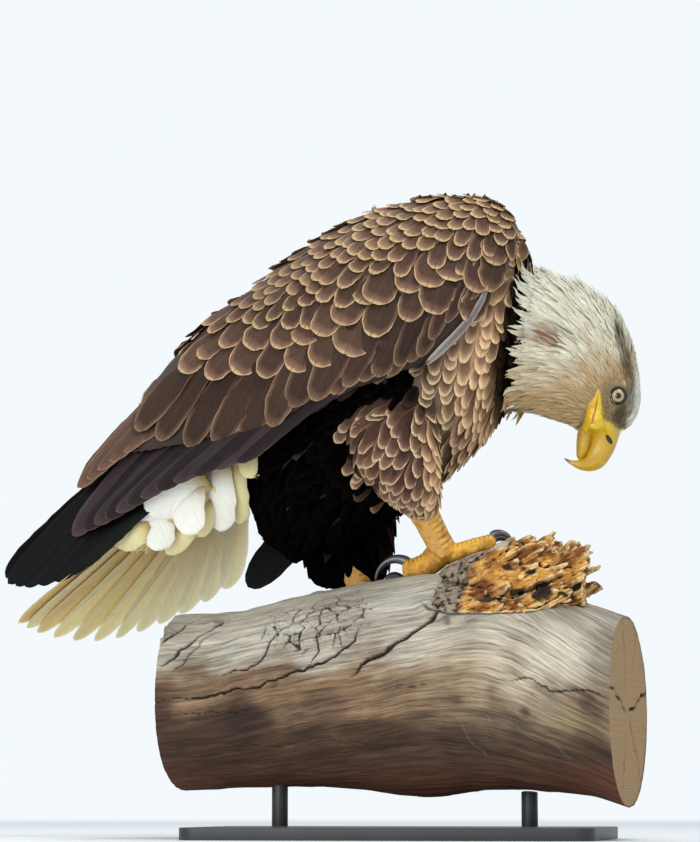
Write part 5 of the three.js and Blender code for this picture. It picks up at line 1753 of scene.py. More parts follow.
def log_piece():
    rings, sides = 430, 400
    rows = perch_rows(LOG, rings, sides)
    x = rows[..., 0]
    arc = way_round(rows)
    middle = rows.mean(1, keepdims=True)
    out = unit(rows - middle)
    flow = grain_flow(rows, arc)
    relief = 0.9 * grain(flow * (0.10, 1, 1), 7, 1) + 0.6 * grain(flow * (0.08, 1, 1), 3, 2)
    relief = relief + 3.0 * grain(rows, 70, 3) + 0.8 * grain(rows, 16, 4) - 2.2
    depth = np.zeros_like(x)
    shaky_x, shaky_arc = x + 3 * grain(rows, 12, 7), arc + 3 * grain(rows, 12, 8) + 1.2 * grain(rows, 4.5, 9)
    for mirror in (False, True):
        for line, deep, wide in CRACKS:
            apart, along = near_line(shaky_x, shaky_arc, line, rows, mirror)
            full = np.minimum(1, 5 * np.minimum(along + 0.04, 1.04 - along))
            depth = np.maximum(depth, deep * full * bell(apart, wide * (0.5 + 0.6 * full)))
    net = np.stack([shaky_x / 21, shaky_arc / 15], -1)
    fine = np.stack([shaky_x / 9, shaky_arc / 6.5 + 20], -1)
    spot = np.exp(-(((x + 58) / 60) ** 2) - ((arc - 84) / 38) ** 2) + 0.8 * np.exp(-(((x - 90) / 60) ** 2)
        - ((arc + 120) / 40) ** 2)
    zone = step(0.3, 0.65, spot + 0.25 * grain(rows, 18, 10))
    depth = np.maximum(depth, 3.2 * crackle_at(net, 0.085) * zone)
    depth = np.maximum(depth, 1.5 * crackle_at(fine, 0.10) * step(0.15, 0.6, spot + 0.3 * grain(rows, 14, 11)))
    ridge = np.zeros_like(x)
    for line, high, wide in LIPS:
        apart, along = near_line(x, arc, line, rows)
        full = np.minimum(1, 6 * np.minimum(along, 1 - along))
        ridge = ridge + high * full * bell(apart, wide)
        # Grooves along the lip's edges; the wood's colour darkens in them, as painted shadow under the lip.
        for off, deep, half in ((11, 2.5, 2.2), (-9, 1.6, 2.4)):
            apart = near_line(x, arc + off, line, rows)[0]
            depth = np.maximum(depth, deep * full * bell(apart, half))
    for line in TRACKS:
        apart, along = near_line(shaky_x, shaky_arc, line, rows)
        ridge = ridge + 0.7 * bell(apart, 0.9) * np.minimum(1, 8 * np.minimum(along, 1 - along))
    knot_mark = np.zeros_like(x)
    for kx, kz, size in KNOTS:
        far = np.hypot(x - kx, arc - arc_at(arc, rows, kx, kz)[1]) * (1 + 0.15 * grain(rows, 8, 12))
        relief = relief + 0.3 * size * bell(far - size, 0.4 * size) - 0.35 * size * bell(far, 0.5 * size)
        knot_mark = np.maximum(knot_mark, bell(far, 0.8 * size))
    calm = calm_near_feet(rows)
    sunk = 8 * step(50, 60, x) * step(194, 184, x) * step(1, 6, rows[..., 2] - lip_height(x)) * (arc > 0)
    rows = rows + out * ((relief + ridge - depth) * calm - sunk)[..., None]
    colour = blend(log_tones(rows, flow), "#b5a27f", 0.18 * np.clip(2 * ridge, 0, 1) * (ridge < 1.2))
    points, flow = rows.reshape(-1, 3), flow.reshape(-1, 3)
    # How deep the cracks are, which the material paints near black as painted shade, and where the knots are.
    wood = np.stack([np.clip(depth / 3.5, 0, 1), knot_mark, 0 * depth], -1).reshape(-1, 3)
    colour = colour.reshape(-1, 3)
    quads, threes = [strip_faces(rings, sides)], []
    for end in (0, rings - 1):
        disc, disc_wood = sawn_end(rows[end], 1 if end == 0 else -1)
        index = np.vstack([np.arange(sides) + end * sides, len(points)
            + np.arange(disc.shape[0] * sides).reshape(-1, sides)])
        points = np.vstack([points, disc.reshape(-1, 3)])
        wood = np.vstack([wood, disc_wood])
        flow = np.vstack([flow, disc.reshape(-1, 3)])
        colour = np.vstack([colour, np.tile(tint_of("sawn"), (disc.shape[0] * sides, 1))])
        after = np.roll(index, -1, axis=1)
        inner = np.stack([index[:-2], after[:-2], after[1:-1], index[1:-1]], -1).reshape(-1, 4)
        last = np.stack([index[-2], after[-2], np.full(sides, index[-1, 0])], -1)
        quads.append(inner if end else inner[:, ::-1])
        threes.append(last if end else last[:, ::-1])
    quads, threes = np.vstack(quads), np.vstack(threes)
    used = np.zeros(len(points), bool)
    used[quads.ravel()] = used[threes.ravel()] = True
    order = np.cumsum(used) - 1
    fields = {"Wood": wood[used], "Grain": flow[used], "Tint": np.c_[colour[used], np.ones(used.sum())]}
    made = build("log_weathered", on_perch(points[used]), [order[quads], order[threes]], fields, sharp=60)
    return place_piece(made, log_material(), "weathered_wood", "perch_log")


def sawn_end(ring, way):
    """The rings of points over one sawn end, with its drying checks, and their marks."""
    centre = ring.mean(0)
    shares = evenly(44)[1:]
    disc = np.array([centre + (ring - centre) * (1 - s) for s in shares])
    flat = disc - centre
    angle = np.degrees(np.arctan2(flat[..., 2], flat[..., 1]))
    far = np.linalg.norm(flat, axis=-1)
    bent = angle + 10 * grain(disc, 34, 3) + 3 * grain(disc, 9, 4)
    check = np.zeros_like(far)
    for at, start, end, wide in ((12, 8, 95, 2.4), (100, 15, 95, 1.8), (171, 5, 95, 2.6), (-50, 12, 95, 2.0),
            (-112, 30, 90, 1.2), (55, 40, 95, 1.0)):
        apart = np.abs((bent - at + 180) % 360 - 180) * pi / 180 * far
        check = np.maximum(check, step(wide, 0.3 * wide, apart) * step(start - 4, start + 14, far)
            * step(end + 6, end - 6, far))
    saw = 0.35 * np.sin(flat[..., 2] * 1.1 + 2 * grain(disc, 30, 5)) + 0.5 * grain(disc, 12, 6)
    disc[..., 0] += way * (5.0 * check + 0.8 + saw)
    # The checks' marks, painted near black by the material as painted shade.
    marks = np.stack([check, 0 * check, 0.001 + far / far.max()], -1).reshape(-1, 3)
    return disc, marks


def log_material():
    """Dead wood without bark: dry, silver grey over brown, with a fine raised grain, and painted shade in its checks
    and cracks.
    """
    material, add = started("Dead wood, weathered silver grey", Roughness=0.84, IOR=1.45)
    wood = add("Attribute", attribute_name="Wood")
    tint = add("Attribute", attribute_name="Tint")
    marks = add("SeparateXYZ", {"Vector": wood.outputs["Vector"]})
    place = add("TexCoord")
    run = add("Attribute", attribute_name="Grain")
    turned = add("Mapping", {"Vector": run.outputs["Vector"], "Scale": (0.024, 0.5, 0.5)})
    bend = add("TexNoise", {"Vector": place.outputs["Object"], "Scale": 16.0, "Detail": 3.0})
    bent = add("VectorMath", {0: bend.outputs["Color"], 1: (1, 1, 1), 2: turned}, operation="MULTIPLY_ADD")
    figure = add("TexNoise", {"Vector": bent, "Scale": 1.0, "Detail": 6.0, "Roughness": 0.72})
    level = add("MapRange", {"Value": figure, "From Min": 0.36, "From Max": 0.66, "To Min": 0.4, "To Max": 1.32})
    far = add("Math", {0: marks.outputs["Z"], 1: 210.0}, operation="MULTIPLY")
    ringed = add("Math", {0: bend, 1: 16.0, 2: far}, operation="MULTIPLY_ADD")
    wave = add("Math", {0: ringed}, operation="SINE")
    cut = add("MapRange", {"Value": wave, "From Min": -1.0, "From Max": 1.0, "To Min": 0.72, "To Max": 1.12})
    is_end = add("Math", {0: marks.outputs["Z"], 1: 0.0005}, operation="GREATER_THAN")
    shade = add("Mix", {0: is_end, 2: level, 3: cut})
    toned = add("VectorMath", {0: tint, "Scale": shade}, operation="SCALE")
    # Painted shade: cracks and checks go near black by their depth.
    dark = add("MapRange", {"Value": marks.outputs["X"], "From Min": 0.15, "From Max": 0.75, "To Max": 0.93})
    cracked = add("Mix", {"Factor": dark, 6: toned, 7: linear("#17100c")}, data_type="RGBA")
    knotted = add("Math", {0: marks.outputs["Y"], 1: 0.6}, operation="MULTIPLY")
    final = add("Mix", {"Factor": knotted, 6: cracked, 7: linear("#35261b")}, data_type="RGBA")
    bump = add("Bump", {"Height": figure, "Strength": 0.8, "Distance": 0.0022})
    return linked(material, Base_Color=final, Normal=bump)


def splinter(rng, base, way, length, wide, thick, up):
    """One torn piece: a bent slab, about as wide all along, broken off blunt."""
    t = evenly(8)
    path = base + way * (length * t)[:, None]
    path = path + np.cumsum(rng.normal(0, 0.014 * length, (8, 3)), 0) * t[:, None]
    side = unit(np.cross(way, up))
    up = np.cross(side, way)
    taper = np.array((0.75, 0.95, 1, 0.98, 0.95, 0.9, 0.78, 0.5)) * (1 + 0.14 * rng.normal(0, 1, 8))
    corners = np.array([(-1, -0.5), (0.0, -1), (1, -0.4), (0.85, 0.6), (0.1, 1), (-0.9, 0.7)])
    rows = path[:, None] + side * (wide * taper)[:, None, None] * corners[None, :, :1]
    rows = rows + up * (thick * taper)[:, None, None] * corners[None, :, 1:]
    rows = rows + way * (rng.normal(0, 0.10 * length, 6))[None, :, None] * step(0.5, 1, t)[:, None, None]
    return tube_mesh(rows)


# Hollows rotted into the broken limb: x, z, half-width, half-height and depth; and its torn top edge as x and z.
HOLLOWS = [(158, 234, 9, 10, 16), (132, 234, 8, 4, 8), (110, 226, 16, 3, 8), (122, 258, 8, 2.5, 6),
    (146, 252, 7, 2.5, 6), (178, 230, 5, 3, 6)]
TORN_TOP = [(84, 268), (112, 279), (132, 285), (153, 292), (160, 281), (167, 270), (178, 279), (190, 287), (196, 264)]


def torn_grain(rows, tilt):
    """Coordinates along and across fibres that lean up to the right by the tilt in degrees."""
    c, s = cos(radians(tilt)), sin(radians(tilt))
    x, y, z = rows[..., 0], rows[..., 1], rows[..., 2]
    return np.stack([(x * c + z * s) * 0.16, y, z * c - x * s], -1)


def front_of(ribs, x, z, square):
    """Where a limb's right side lies, as y, at places x and z; 0 past its top or foot."""
    xs, tops, lows, halves = np.array(ribs, float).T
    top, low, half = (np.interp(x, xs, v) for v in (tops, lows, halves))
    share = np.abs(z - (top + low) / 2) / ((top - low) / 2)
    return -half * np.clip(1 - share**square, 0, 1) ** (1 / square)


def standing_out(points, normals, triangles, rounds):
    """How far each point stands out from the surface round it, in millimetres."""
    edges = edges_of(triangles)
    edges = np.vstack([edges, edges[:, ::-1]])
    count = np.maximum(np.bincount(edges[:, 0], minlength=len(points)), 1)
    flat = points
    for _ in range(rounds):
        flat = np.stack([np.bincount(edges[:, 0], flat[edges[:, 1], k], len(points)) / count for k in range(3)], 1)
    return ((points - flat) * normals).sum(1)


def torn_relief(rows, share):
    """Relief of the rotted wood: ridges along the fibres, and the hollows; and how deep in a hollow."""
    fibres = torn_grain(rows, 28)
    relief = 1.2 * grain(rows, 10, 4) - 1.0
    relief = relief + share * (2.8 * (1 - 2.4 * np.abs(grain(fibres, 6.5, 3))) + 2.5 * grain(rows, 14, 21) - 1.5)
    hollow = np.zeros(rows.shape[:-1])
    x, z = rows[..., 0], rows[..., 2]
    for hx, hz, long, high, deep in HOLLOWS:
        shape = np.abs((x - hx + 3 * grain(rows, 6, 7)) / long) ** 3 + np.abs((z - hz + 3 * grain(rows, 6, 8))
            / high) ** 3
        dip = np.exp(-shape) * (rows[..., 1] < -5)
        relief, hollow = relief - deep * dip, np.maximum(hollow, dip)
    return relief, hollow


def stub_forms(rng):
    """The broken limb's core, the torn wood down to the lip of the bark, and the splinters on both."""
    rows = perch_rows([(x, top - 3, low, half - 3) for x, top, low, half in STUB], 160, 160, 2.0)
    out = unit(rows - rows.mean(1, keepdims=True))
    share = step(80, 90, rows[..., 0])
    rows = rows + out * torn_relief(rows, share)[0][..., None]
    core, faces = tube_mesh(rows)
    core[-1, 0] -= 10
    forms = [(core, faces)]
    x = (48 + 146 * evenly(150))[:, None]
    top = np.interp(x, *np.array(STUB, float).T[:2]) - 5
    z = lip_height(x) + 1 + (top - lip_height(x)) * evenly(70)[None, :]
    y = np.minimum(front_of(LOG, x, z, 2.1), front_of(STUB, x, z, 2.0))
    grid = np.stack([x + 0 * z, y, z], -1)
    relief = torn_relief(grid, step(80, 90, grid[..., 0]))[0] * step(0, 0.1, evenly(70))[None, :]
    relief = relief * np.minimum(step(48, 54, x), step(194, 188, x)) - 2 * step(56, 48, x) - 3 * step(184, 194, x)
    front = grid + np.stack([0 * relief, -0.85 * relief, 0.45 * relief], -1)
    forms.append(tube_mesh(np.concatenate([front, (grid + (0, 14, -3))[:, ::-1]], 1)))
    xs, tops, lows, halves = np.array(STUB, float).T
    edge = np.array(TORN_TOP, float)
    for k in range(bpy.context.scene.eagle_perch.splinters):
        start, ahead = rng.uniform(88, 176), k % 4 > 0
        top, low, half = (np.interp(start, xs, v) for v in (tops, lows, halves))
        if ahead:
            high = lip_height(start) + 5 + (top - 6 - lip_height(start)) * rng.random()
            far = min(front_of(LOG, start, high, 2.1), front_of(STUB, start, high, 2.0)) + rng.uniform(2, 5)
            base, outward = np.array((start, far, high)), unit(np.array((0, -0.9, 0.3)))
        else:
            angle = rng.uniform(-0.4, pi * 0.75)
            inside = rng.uniform(0.4, 0.9) if start > 158 else rng.uniform(0.84, 0.93)
            base = np.array((start, half * inside * cos(angle), (top + low) / 2 + (top - low) / 2 * inside
                * sin(angle)))
            outward = unit(np.array((0, cos(angle), sin(angle))))
        if any(hypot((base[0] - hx) / (long + 3), (base[2] - hz) / (high + 3)) < 1 for hx, hz, long, high,
                _ in HOLLOWS):
            continue
        lean = radians(rng.normal(np.interp(base[2], (215, 235, 262), (4, 16, 32)), 8))
        way = unit(np.array((cos(lean), rng.normal(0, 0.05), sin(lean))) + 0.10 * outward)
        length = min(rng.uniform(10, 32), (196 - start) / way[0])
        while length > 6 and base[2] + way[2] * length > np.interp(start + way[0] * length, *edge.T):
            length -= 2
        if length > 7:
            forms.append(splinter(rng, base, way, length * 1.15, rng.uniform(2.5, 6.5), rng.uniform(1.4, 3.4),
                outward))
    return forms


def stub_piece(rng):
    """The broken limb: rotted, torn wood, pitted at its left and rimmed with grey bark, with painted highlights on
    edges that stand out and painted shade in its hollows, pits and between splinters.
    """
    points, faces = merged(stub_forms(rng))
    voxel = bpy.context.scene.eagle_perch.torn_voxel / MM
    points, normals, triangles = resurfaced(points, triangles_of(faces), voxel, 1)
    x, z = points[:, 0], points[:, 2]
    torn = step(78, 88, x - 0.9 * np.clip(z - 258, 0, 40) + 5 * grain(points, 10, 2))
    top = np.interp(x, *np.array(STUB, float).T[:2])
    rim = step(9, 4, top - z + 2 * grain(points, 12, 13)) * step(130, 112, x)
    fibres = torn_grain(points, 28)
    long_fibres = fibres * (0.6, 1, 1)
    fine = 0.9 * (1 - 2.4 * np.abs(grain(long_fibres, 3.2, 5))) + 0.4 * (1 - 2.4 * np.abs(grain(long_fibres, 1.6, 6)))
    pits = np.clip(layered(points, 3.6, 2, 6) - 0.02, 0, 1) * (1 - rim) * (1 - 0.8 * torn)
    points = points + normals * (fine * torn - 3.0 * pits)[:, None]
    # How far each point stands out; the colours below paint highlights where it is high and shade where it is low.
    proud = standing_out(points, normals, triangles, 16)
    hollow = torn_relief(points, torn)[1]
    patch = layered(points, 13, 2, 17)
    wood = blend("torn_dark", "torn", step(-0.6, 0.6, patch + 0.4 * grain(long_fibres, 4, 19)))
    # Painted highlight on torn edges that stand out.
    wood = blend(wood, "torn_edge", 0.75 * step(0.45, 1.4, proud + 0.6 * patch))
    # Painted shade where the surface sinks between splinters.
    wood = blend(wood, "torn_deep", step(-0.1, -1.2, proud))
    # The bark darker where it sinks, as painted shade, and in a random pattern of pits.
    bark = blend("bark_dark", "bark", step(-0.9, 0.7, proud + 0.6 * layered(points * (1, 1, 0.5), 5, 2, 11)))
    # Painted shade: a dark split drawn as a line where the bark meets the torn wood.
    bark = blend(bark, "#17100a", 0.9 * bell(x - 82 - 3 * grain(points, 9, 2), 1.6) * (z < 262))
    colour = blend(bark, wood, torn * (1 - rim))
    colour = blend(colour, "#cfc9bc", 0.6 * rim * step(-0.6, 0.2, proud))
    # Painted shade in the rotted hollows and the pits.
    colour = blend(colour, "#140b06", np.clip(step(0.25, 0.75, hollow) + 1.2 * pits, 0, 0.97))
    made = build("stub_splintered", on_perch(points), [triangles], {"Tint": opaque(colour)})
    return place_piece(made, stub_material(), "split_wood", "perch_stub")


def stub_material():
    """Split heartwood: dry, fibrous, ochre to red-brown, rotted into pockets that are dark with painted shade."""
    material, add = started("Split heartwood, torn and dry", Roughness=0.85, IOR=1.45)
    tint = add("Attribute", attribute_name="Tint")
    place = add("TexCoord")
    turned = add("Mapping", {"Vector": place.outputs["Object"],
        "Rotation": (0, radians(30), radians(-PERCH["turn"])), "Scale": (70.0, 460.0, 460.0)})
    fibre = add("TexNoise", {"Vector": turned, "Scale": 1.0, "Detail": 5.0, "Roughness": 0.65})
    level = add("MapRange", {"Value": fibre, "From Min": 0.36, "From Max": 0.62, "To Min": 0.6, "To Max": 1.2})
    toned = add("VectorMath", {0: tint, "Scale": level}, operation="SCALE")
    bump = add("Bump", {"Height": fibre, "Strength": 0.8, "Distance": 0.002})
    return linked(material, Base_Color=toned, Normal=bump)


# ---------------------------------------------------------------- stand and stage
def steel_material():
    """Mild steel, powder coated satin black: an even fine orange peel and soft wide highlights."""
    material, add = started("Mild steel, satin black powder coat", Roughness=0.46, IOR=1.5)
    place = add("TexCoord")
    peel = add("TexNoise", {"Vector": place.outputs["Object"], "Scale": 900.0, "Detail": 2.0})
    dust = add("TexNoise", {"Vector": place.outputs["Object"], "Scale": 14.0, "Detail": 3.0})
    ramp = graded(add("ValToRGB", {"Fac": dust}), (0.3, linear("#1f1f21")), (0.7, linear("#2a2a2d")))
    bump = add("Bump", {"Height": peel, "Strength": 0.2, "Distance": 0.0003})
    return linked(material, Base_Color=ramp, Normal=bump)


def dress_stand():
    material = steel_material()
    for name in ("stand_base", "stand_rod_back", "stand_rod_front"):
        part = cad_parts[name]
        part.data.materials.clear()
        part.data.materials.append(material)
        weld = part.modifiers.new("Weld", "WELD")
        weld.merge_threshold = 0.00001
        bevel = part.modifiers.new("Eased edges", "BEVEL")
        bevel.width, bevel.segments, bevel.limit_method = 0.0012 if name == "stand_base" else 0.0004, 3, "ANGLE"
        bevel.angle_limit = radians(35)
        part.data.shade_smooth()


def looking(made, place, way):
    """Puts a lamp or the camera at a place and turns it to look one way."""
    made.location = place
    made.rotation_euler = way.to_track_quat("-Z", "Y").to_euler()


def studio():
    """Pale floor and background, a soft key from above, a soft fill, and the camera."""
    scene = bpy.context.scene
    scene.view_settings.view_transform = "Standard"
    paper, _ = started("Studio paper, pale and matt", Roughness=0.95, Base_Color=linear("#eef3f6"),
        Specular_IOR_Level=0.1)
    tree = paper.node_tree
    mesh = bpy.data.meshes.new("floor")
    reach = 30.0
    mesh.from_pydata([(-reach, -reach, 0), (reach, -reach, 0), (reach, reach, 0), (-reach, reach, 0)], [],
        [(0, 1, 2, 3)])
    floor = in_scene("floor", mesh)
    mesh.materials.append(paper)
    place = node(tree, "TexCoord")
    away = node(tree, "VectorMath", {0: place.outputs["Object"]}, operation="LENGTH")
    fade = node(tree, "MapRange", {"Value": away, "From Min": 1.2, "From Max": 4.0}, interpolation_type="SMOOTHSTEP")
    rays = node(tree, "LightPath")
    seen = node(tree, "Math", {0: rays.outputs["Is Camera Ray"], 1: fade}, operation="MULTIPLY")
    glow = node(tree, "Emission", {"Color": linear("#f3f9fd"), "Strength": 1.0})
    mixed = node(tree, "MixShader", {0: seen, 1: tree.nodes["Principled BSDF"], 2: glow})
    tree.links.new(mixed.outputs[0], tree.nodes["Material Output"].inputs["Surface"])

    world = bpy.data.worlds.new("Studio")
    scene.world = world
    world.use_nodes = True
    tree = world.node_tree
    air = tree.nodes["Background"]
    air.inputs["Color"].default_value = linear("#f1f6fb")
    air.inputs["Strength"].default_value = 0.50
    behind = node(tree, "Background", {"Color": linear("#f3f9fd"), "Strength": 1.0})
    rays = node(tree, "LightPath")
    shown = node(tree, "Math", {0: rays.outputs["Is Camera Ray"], 1: rays.outputs["Is Glossy Ray"]},
        operation="MAXIMUM")
    shown = node(tree, "Math", {0: rays.outputs["Is Transmission Ray"], 1: shown}, operation="MAXIMUM")
    mixed = node(tree, "MixShader", {0: shown, 1: air, 2: behind})
    tree.links.new(mixed.outputs[0], tree.nodes["World Output"].inputs["Surface"])

    for name, place, aim, size, power in (
        ("key", (0.9, -1.5, 2.7), (0, 0, 0.4), 1.6, 42.0),
        ("top", (-0.5, 0.6, 2.8), (0, 0, 0.4), 1.6, 26.0),
        ("fill", (-1.0, -2.5, 0.5), (-0.1, 0, 0.35), 1.6, 36.0),
    ):
        lamp = bpy.data.lights.new(name, "AREA")
        lamp.size, lamp.energy = size, power
        looking(in_scene(name, lamp), place, Vector(aim) - Vector(place))

    camera = bpy.data.cameras.new("camera")  # As wide as the view at the bird is in metres.
    sensor, distance, seen_width = 36, 2.9, 0.842
    camera.lens, camera.sensor_width = sensor * distance / seen_width, sensor
    azimuth, elevation = radians(11), radians(-7.5)
    target = Vector((-0.053, 0, 0.414))
    back = Vector((sin(azimuth) * cos(elevation), -cos(azimuth) * cos(elevation), sin(elevation)))
    scene.camera = in_scene("camera", camera)
    looking(scene.camera, target + back * distance, -back)


# ---------------------------------------------------------------- operators
def colour(name, description, code):
    """A colour property whose default is an sRGB hex code."""
    return bpy.props.FloatVectorProperty(name=name, description=description, default=linear(code)[:3], min=0.0,
        max=1.0, size=3, subtype="COLOR")


def length(name, description, value):
    """A length property in metres."""
    return bpy.props.FloatProperty(name=name, description=description, default=value, min=0.0002, max=1.0,
        precision=4, subtype="DISTANCE", unit="LENGTH")


class EaglePlumage(bpy.types.PropertyGroup):
    """Colours and size of the feathers."""

    feather_size: bpy.props.FloatProperty(name="Feather size", description="Size of the small feathers, 1 as in life",
                                          default=1.0, min=0.6, max=3.0, subtype="FACTOR")
    seed: bpy.props.IntProperty(name="Seed", description="Starts every random choice in the coat and the torn wood",
        default=7)
    brown: colour("Brown", "Back and belly's edge", "#7d6453")
    # Partly painted light: the top of the wing is this paler brown as lit from above.
    shoulder: colour("Shoulder", "Small coverts on top of the wing", "#8a6b52")
    wing: colour("Wing", "Lower coverts of the wing", "#6a4e40")
    # Partly painted light: the breast's front is this pale where it faces the light.
    breast: colour("Breast", "Front of the breast and thighs", "#d4a981")
    thigh: colour("Thigh", "Thigh feathers", "#725648")
    buff: colour("Buff", "Rims of the wing's coverts", "#c7ad7d")
    buff_dull: colour("Dull buff", "Rims of the body's feathers", "#dcc195")
    # Painted shadow: near black for the belly, the base of the neck and the backs of the thighs, which are dark brown
    # in shadow.
    belly: colour("Belly", "Blackish belly", "#050404")
    # Black of the primaries; on the far wing's coverts it is painted shadow.
    black: colour("Black", "Primaries and the far wing", "#070607")
    flight: colour("Flight", "Secondaries", "#352a2b")
    white: colour("White", "Neck", "#dad9c6")
    # Painted light: the cooler, brighter white of the head's top, as lit from above.
    crown: colour("Crown", "Top of the head", "#e6e9e4")
    # Partly painted shade: the tan of the lower throat and cheek in shadow; also the tan of streaks on the neck's
    # feathers.
    tan: colour("Tan", "Stained throat and cheek", "#b09365")
    # Painted shade: the brown of a shadowed recess between the hackles on the neck's side.
    stain: colour("Stain", "Brown mark on the side of the neck", "#7e5733")
    skin_grey: colour("Face", "Bare skin round the eye", "#8b795e")
    streak: colour("Streak", "Dark line over the brow", "#574632")
    tail_cream: colour("Tail cream", "Tail feathers on the near side", "#f8e7ae")
    tail_tan: colour("Tail tan", "Roots of the tail feathers", "#b28a4f")
    down: colour("Down", "Whitest tail feathers and coverts", "#fffbea")
    gold: colour("Gold", "Stained tail feathers", "#cba562")
    blade: colour("Blade", "Pale feather on the wing's front edge", "#8f8780")


class EagleBareParts(bpy.types.PropertyGroup):
    """Sizes and colours of the skin, bill, eyes and feet."""

    skin_voxel: length("Skin detail", "Voxel that the skin is remeshed at", 0.0026)
    foot_voxel: length("Foot detail", "Voxel that the feet are remeshed at", 0.00075)
    iris_radius: length("Iris", "Radius of the iris", 0.0063)
    pupil_radius: length("Pupil", "Radius of the pupil", 0.0029)
    horn: colour("Horn", "Bill", "#c99d14")
    cere: colour("Cere", "Bare skin at the bill's base", "#d5af07")
    gape: colour("Gape", "Corner of the mouth", "#dcbb29")
    iris_edge: colour("Iris edge", "Rim of the iris", "#857640")
    iris: colour("Iris", "Middle of the iris", "#c3b377")
    toe: colour("Toe", "Scales on the toes", "#f3b734")
    leg: colour("Leg", "Scales on the shank", "#efb45c")
    # Painted shade in the grooves between the scales.
    groove: colour("Groove", "Dirt between scales", "#5c3512")
    claw: colour("Claw", "Worn tips of the claws", "#55555a")
    claw_root: colour("Claw root", "Roots of the claws", "#1d1d21")


class EaglePerch(bpy.types.PropertyGroup):
    """Sizes and colours of the log and its broken limb."""

    torn_voxel: length("Torn wood detail", "Voxel that the torn wood is remeshed at", 0.001)
    splinters: bpy.props.IntProperty(name="Splinters", description="How many torn pieces stand on the stub",
        default=230, min=0)
    grey_dark: colour("Dark grey", "Weathered wood on top, in its streaks", "#978c7b")
    grey_pale: colour("Pale grey", "Weathered wood on top", "#cfc9b8")
    brown_dark: colour("Dark brown", "Streaks on the log's side", "#5c412e")
    brown_pale: colour("Pale brown", "The log's side", "#aa8863")
    shade_dark: colour("Dark underside", "Streaks under the log", "#2a1811")
    shade_pale: colour("Pale underside", "The log's underside", "#5f402e")
    sawn: colour("Sawn", "Sawn ends", "#b3936a")
    torn_dark: colour("Dark torn wood", "Rotten wood, browner patches", "#7f4717")
    torn: colour("Torn wood", "Rotten wood, yellower patches", "#dd9f45")
    # Painted highlight on torn edges that stand out.
    torn_edge: colour("Torn edges", "Edges that stand out", "#f0d9a2")
    # Painted shade between the splinters.
    torn_deep: colour("Deep torn wood", "Between the splinters", "#21120a")
    # Painted shade in the pits of the old bark.
    bark_dark: colour("Dark bark", "Pits of the old bark", "#2b221a")
    bark: colour("Bark", "Old bark round the stub", "#9f9079")


STATE = {}


class EAGLE_OT_stage(bpy.types.Operator):
    """Makes the floor, the lights and the camera"""

    bl_idname = "eagle.stage"
    bl_label = "Stage"

    def execute(self, context):
        studio()
        return {"FINISHED"}


class EAGLE_OT_skin(bpy.types.Operator):
    """Makes the one skin that the coat grows from"""

    bl_idname = "eagle.skin"
    bl_label = "Skin"

    def execute(self, context):
        STATE["skin"] = skin_piece(context.scene.eagle_bare.skin_voxel / MM)
        return {"FINISHED"}


class EAGLE_OT_coat(bpy.types.Operator):
    """Covers the skin with contour feathers"""

    bl_idname = "eagle.coat"
    bl_label = "Coat"

    def execute(self, context):
        skin, seed = STATE["skin"], context.scene.eagle_plumage.seed
        body_coat(skin, np.random.default_rng(seed))
        thigh_coat(skin, "right", np.random.default_rng(seed + 1))
        thigh_coat(skin, "left", np.random.default_rng(seed + 2))
        head_coat(skin, np.random.default_rng(seed + 3))
        rump_coat(skin, np.random.default_rng(seed + 4))
        return {"FINISHED"}


class EAGLE_OT_wings(bpy.types.Operator):
    """Lays the coverts and flight feathers of both wings, and the tail"""

    bl_idname = "eagle.wings"
    bl_label = "Wings and tail"

    def execute(self, context):
        skin, seed = STATE["skin"], context.scene.eagle_plumage.seed
        for side in (-1, 1):
            wing_coverts(skin, side, np.random.default_rng(seed + 10 + side))
            wing_quills(skin, side, np.random.default_rng(seed + 20 + side))
        tail_fan(skin, np.random.default_rng(seed + 30))
        under_tail(skin, np.random.default_rng(seed + 31))
        return {"FINISHED"}


class EAGLE_OT_head(bpy.types.Operator):
    """Makes the eyes and the bill"""

    bl_idname = "eagle.head"
    bl_label = "Eyes and bill"

    def execute(self, context):
        material = eye_material()
        for side in (-1, 1):
            eyeball(side, material)
        forms = [eyelid(STATE["skin"], side) for side in (-1, 1)]
        points, faces = merged([form[:2] for form in forms])
        lids = build("eyelids", points, faces, {"Tint": np.vstack([form[2] for form in forms])})
        place_piece(lids, skin_material(), "eye")
        bill(STATE["skin"])
        return {"FINISHED"}


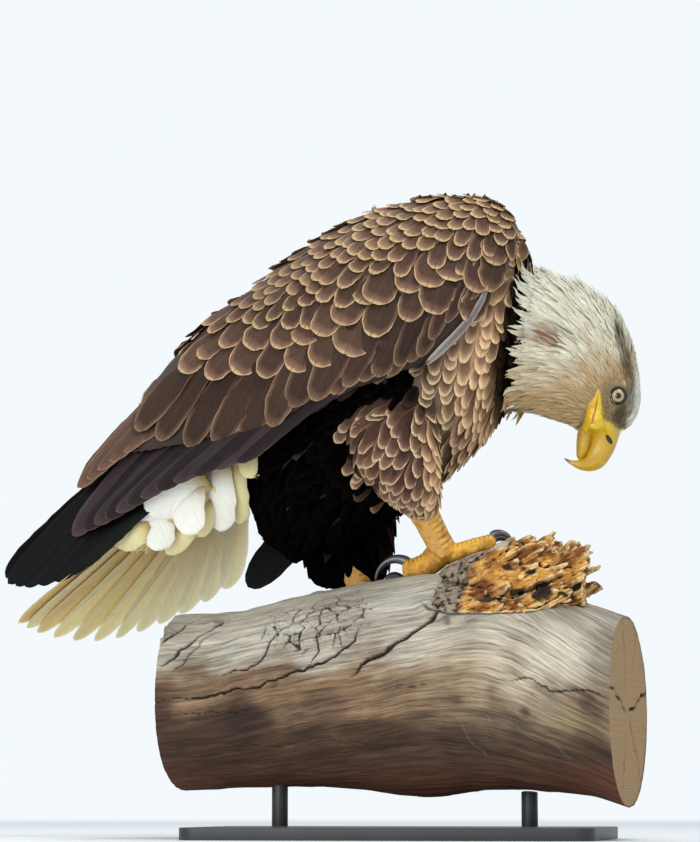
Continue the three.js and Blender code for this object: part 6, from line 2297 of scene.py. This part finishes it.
class EAGLE_OT_feet(bpy.types.Operator):
    """Makes the scaled feet and their claws"""

    bl_idname = "eagle.feet"
    bl_label = "Feet and claws"

    def execute(self, context):
        perch = perch_tree()
        scales, horn = scale_material(), claw_material()
        for side in TOES:
            foot(side, perch, scales)
            for toe in TOES[side]:
                place_piece(talon(side, toe, perch), horn, "black_horn", f"talon_{side}_{toe}")
        return {"FINISHED"}


class EAGLE_OT_perch(bpy.types.Operator):
    """Makes the log, its broken stub, and finishes the stand"""

    bl_idname = "eagle.perch"
    bl_label = "Perch and stand"

    def execute(self, context):
        log_piece()
        stub_piece(np.random.default_rng(context.scene.eagle_plumage.seed + 40))
        dress_stand()
        return {"FINISHED"}


class EAGLE_PT_panel(bpy.types.Panel):
    """Lists the steps that build the eagle"""

    bl_idname = "EAGLE_PT_panel"
    bl_label = "Eagle"
    bl_space_type = "VIEW_3D"
    bl_region_type = "UI"
    bl_category = "Eagle"

    def draw(self, context):
        for step_class in STEPS:
            self.layout.operator(step_class.bl_idname)
        for group in GROUPS:
            box = self.layout.box()
            box.label(text=group.__doc__)
            for key in group.__annotations__:
                box.prop(getattr(context.scene, GROUPS[group]), key)


STEPS = (EAGLE_OT_stage, EAGLE_OT_skin, EAGLE_OT_coat, EAGLE_OT_wings, EAGLE_OT_head, EAGLE_OT_feet, EAGLE_OT_perch)
GROUPS = {EaglePlumage: "eagle_plumage", EagleBareParts: "eagle_bare", EaglePerch: "eagle_perch"}
CLASSES = (*GROUPS, *STEPS, EAGLE_PT_panel)


def register():
    for made in CLASSES:
        bpy.utils.register_class(made)
    for group, name in GROUPS.items():
        setattr(bpy.types.Scene, name, bpy.props.PointerProperty(type=group))


def unregister():
    for name in GROUPS.values():
        delattr(bpy.types.Scene, name)
    for made in reversed(CLASSES):
        bpy.utils.unregister_class(made)


def main():
    register()
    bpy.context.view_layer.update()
    bpy.ops.eagle.stage()
    bpy.ops.eagle.skin()
    bpy.ops.eagle.coat()
    bpy.ops.eagle.wings()
    bpy.ops.eagle.head()
    bpy.ops.eagle.feet()
    bpy.ops.eagle.perch()


if __name__ == "__main__":
    main()
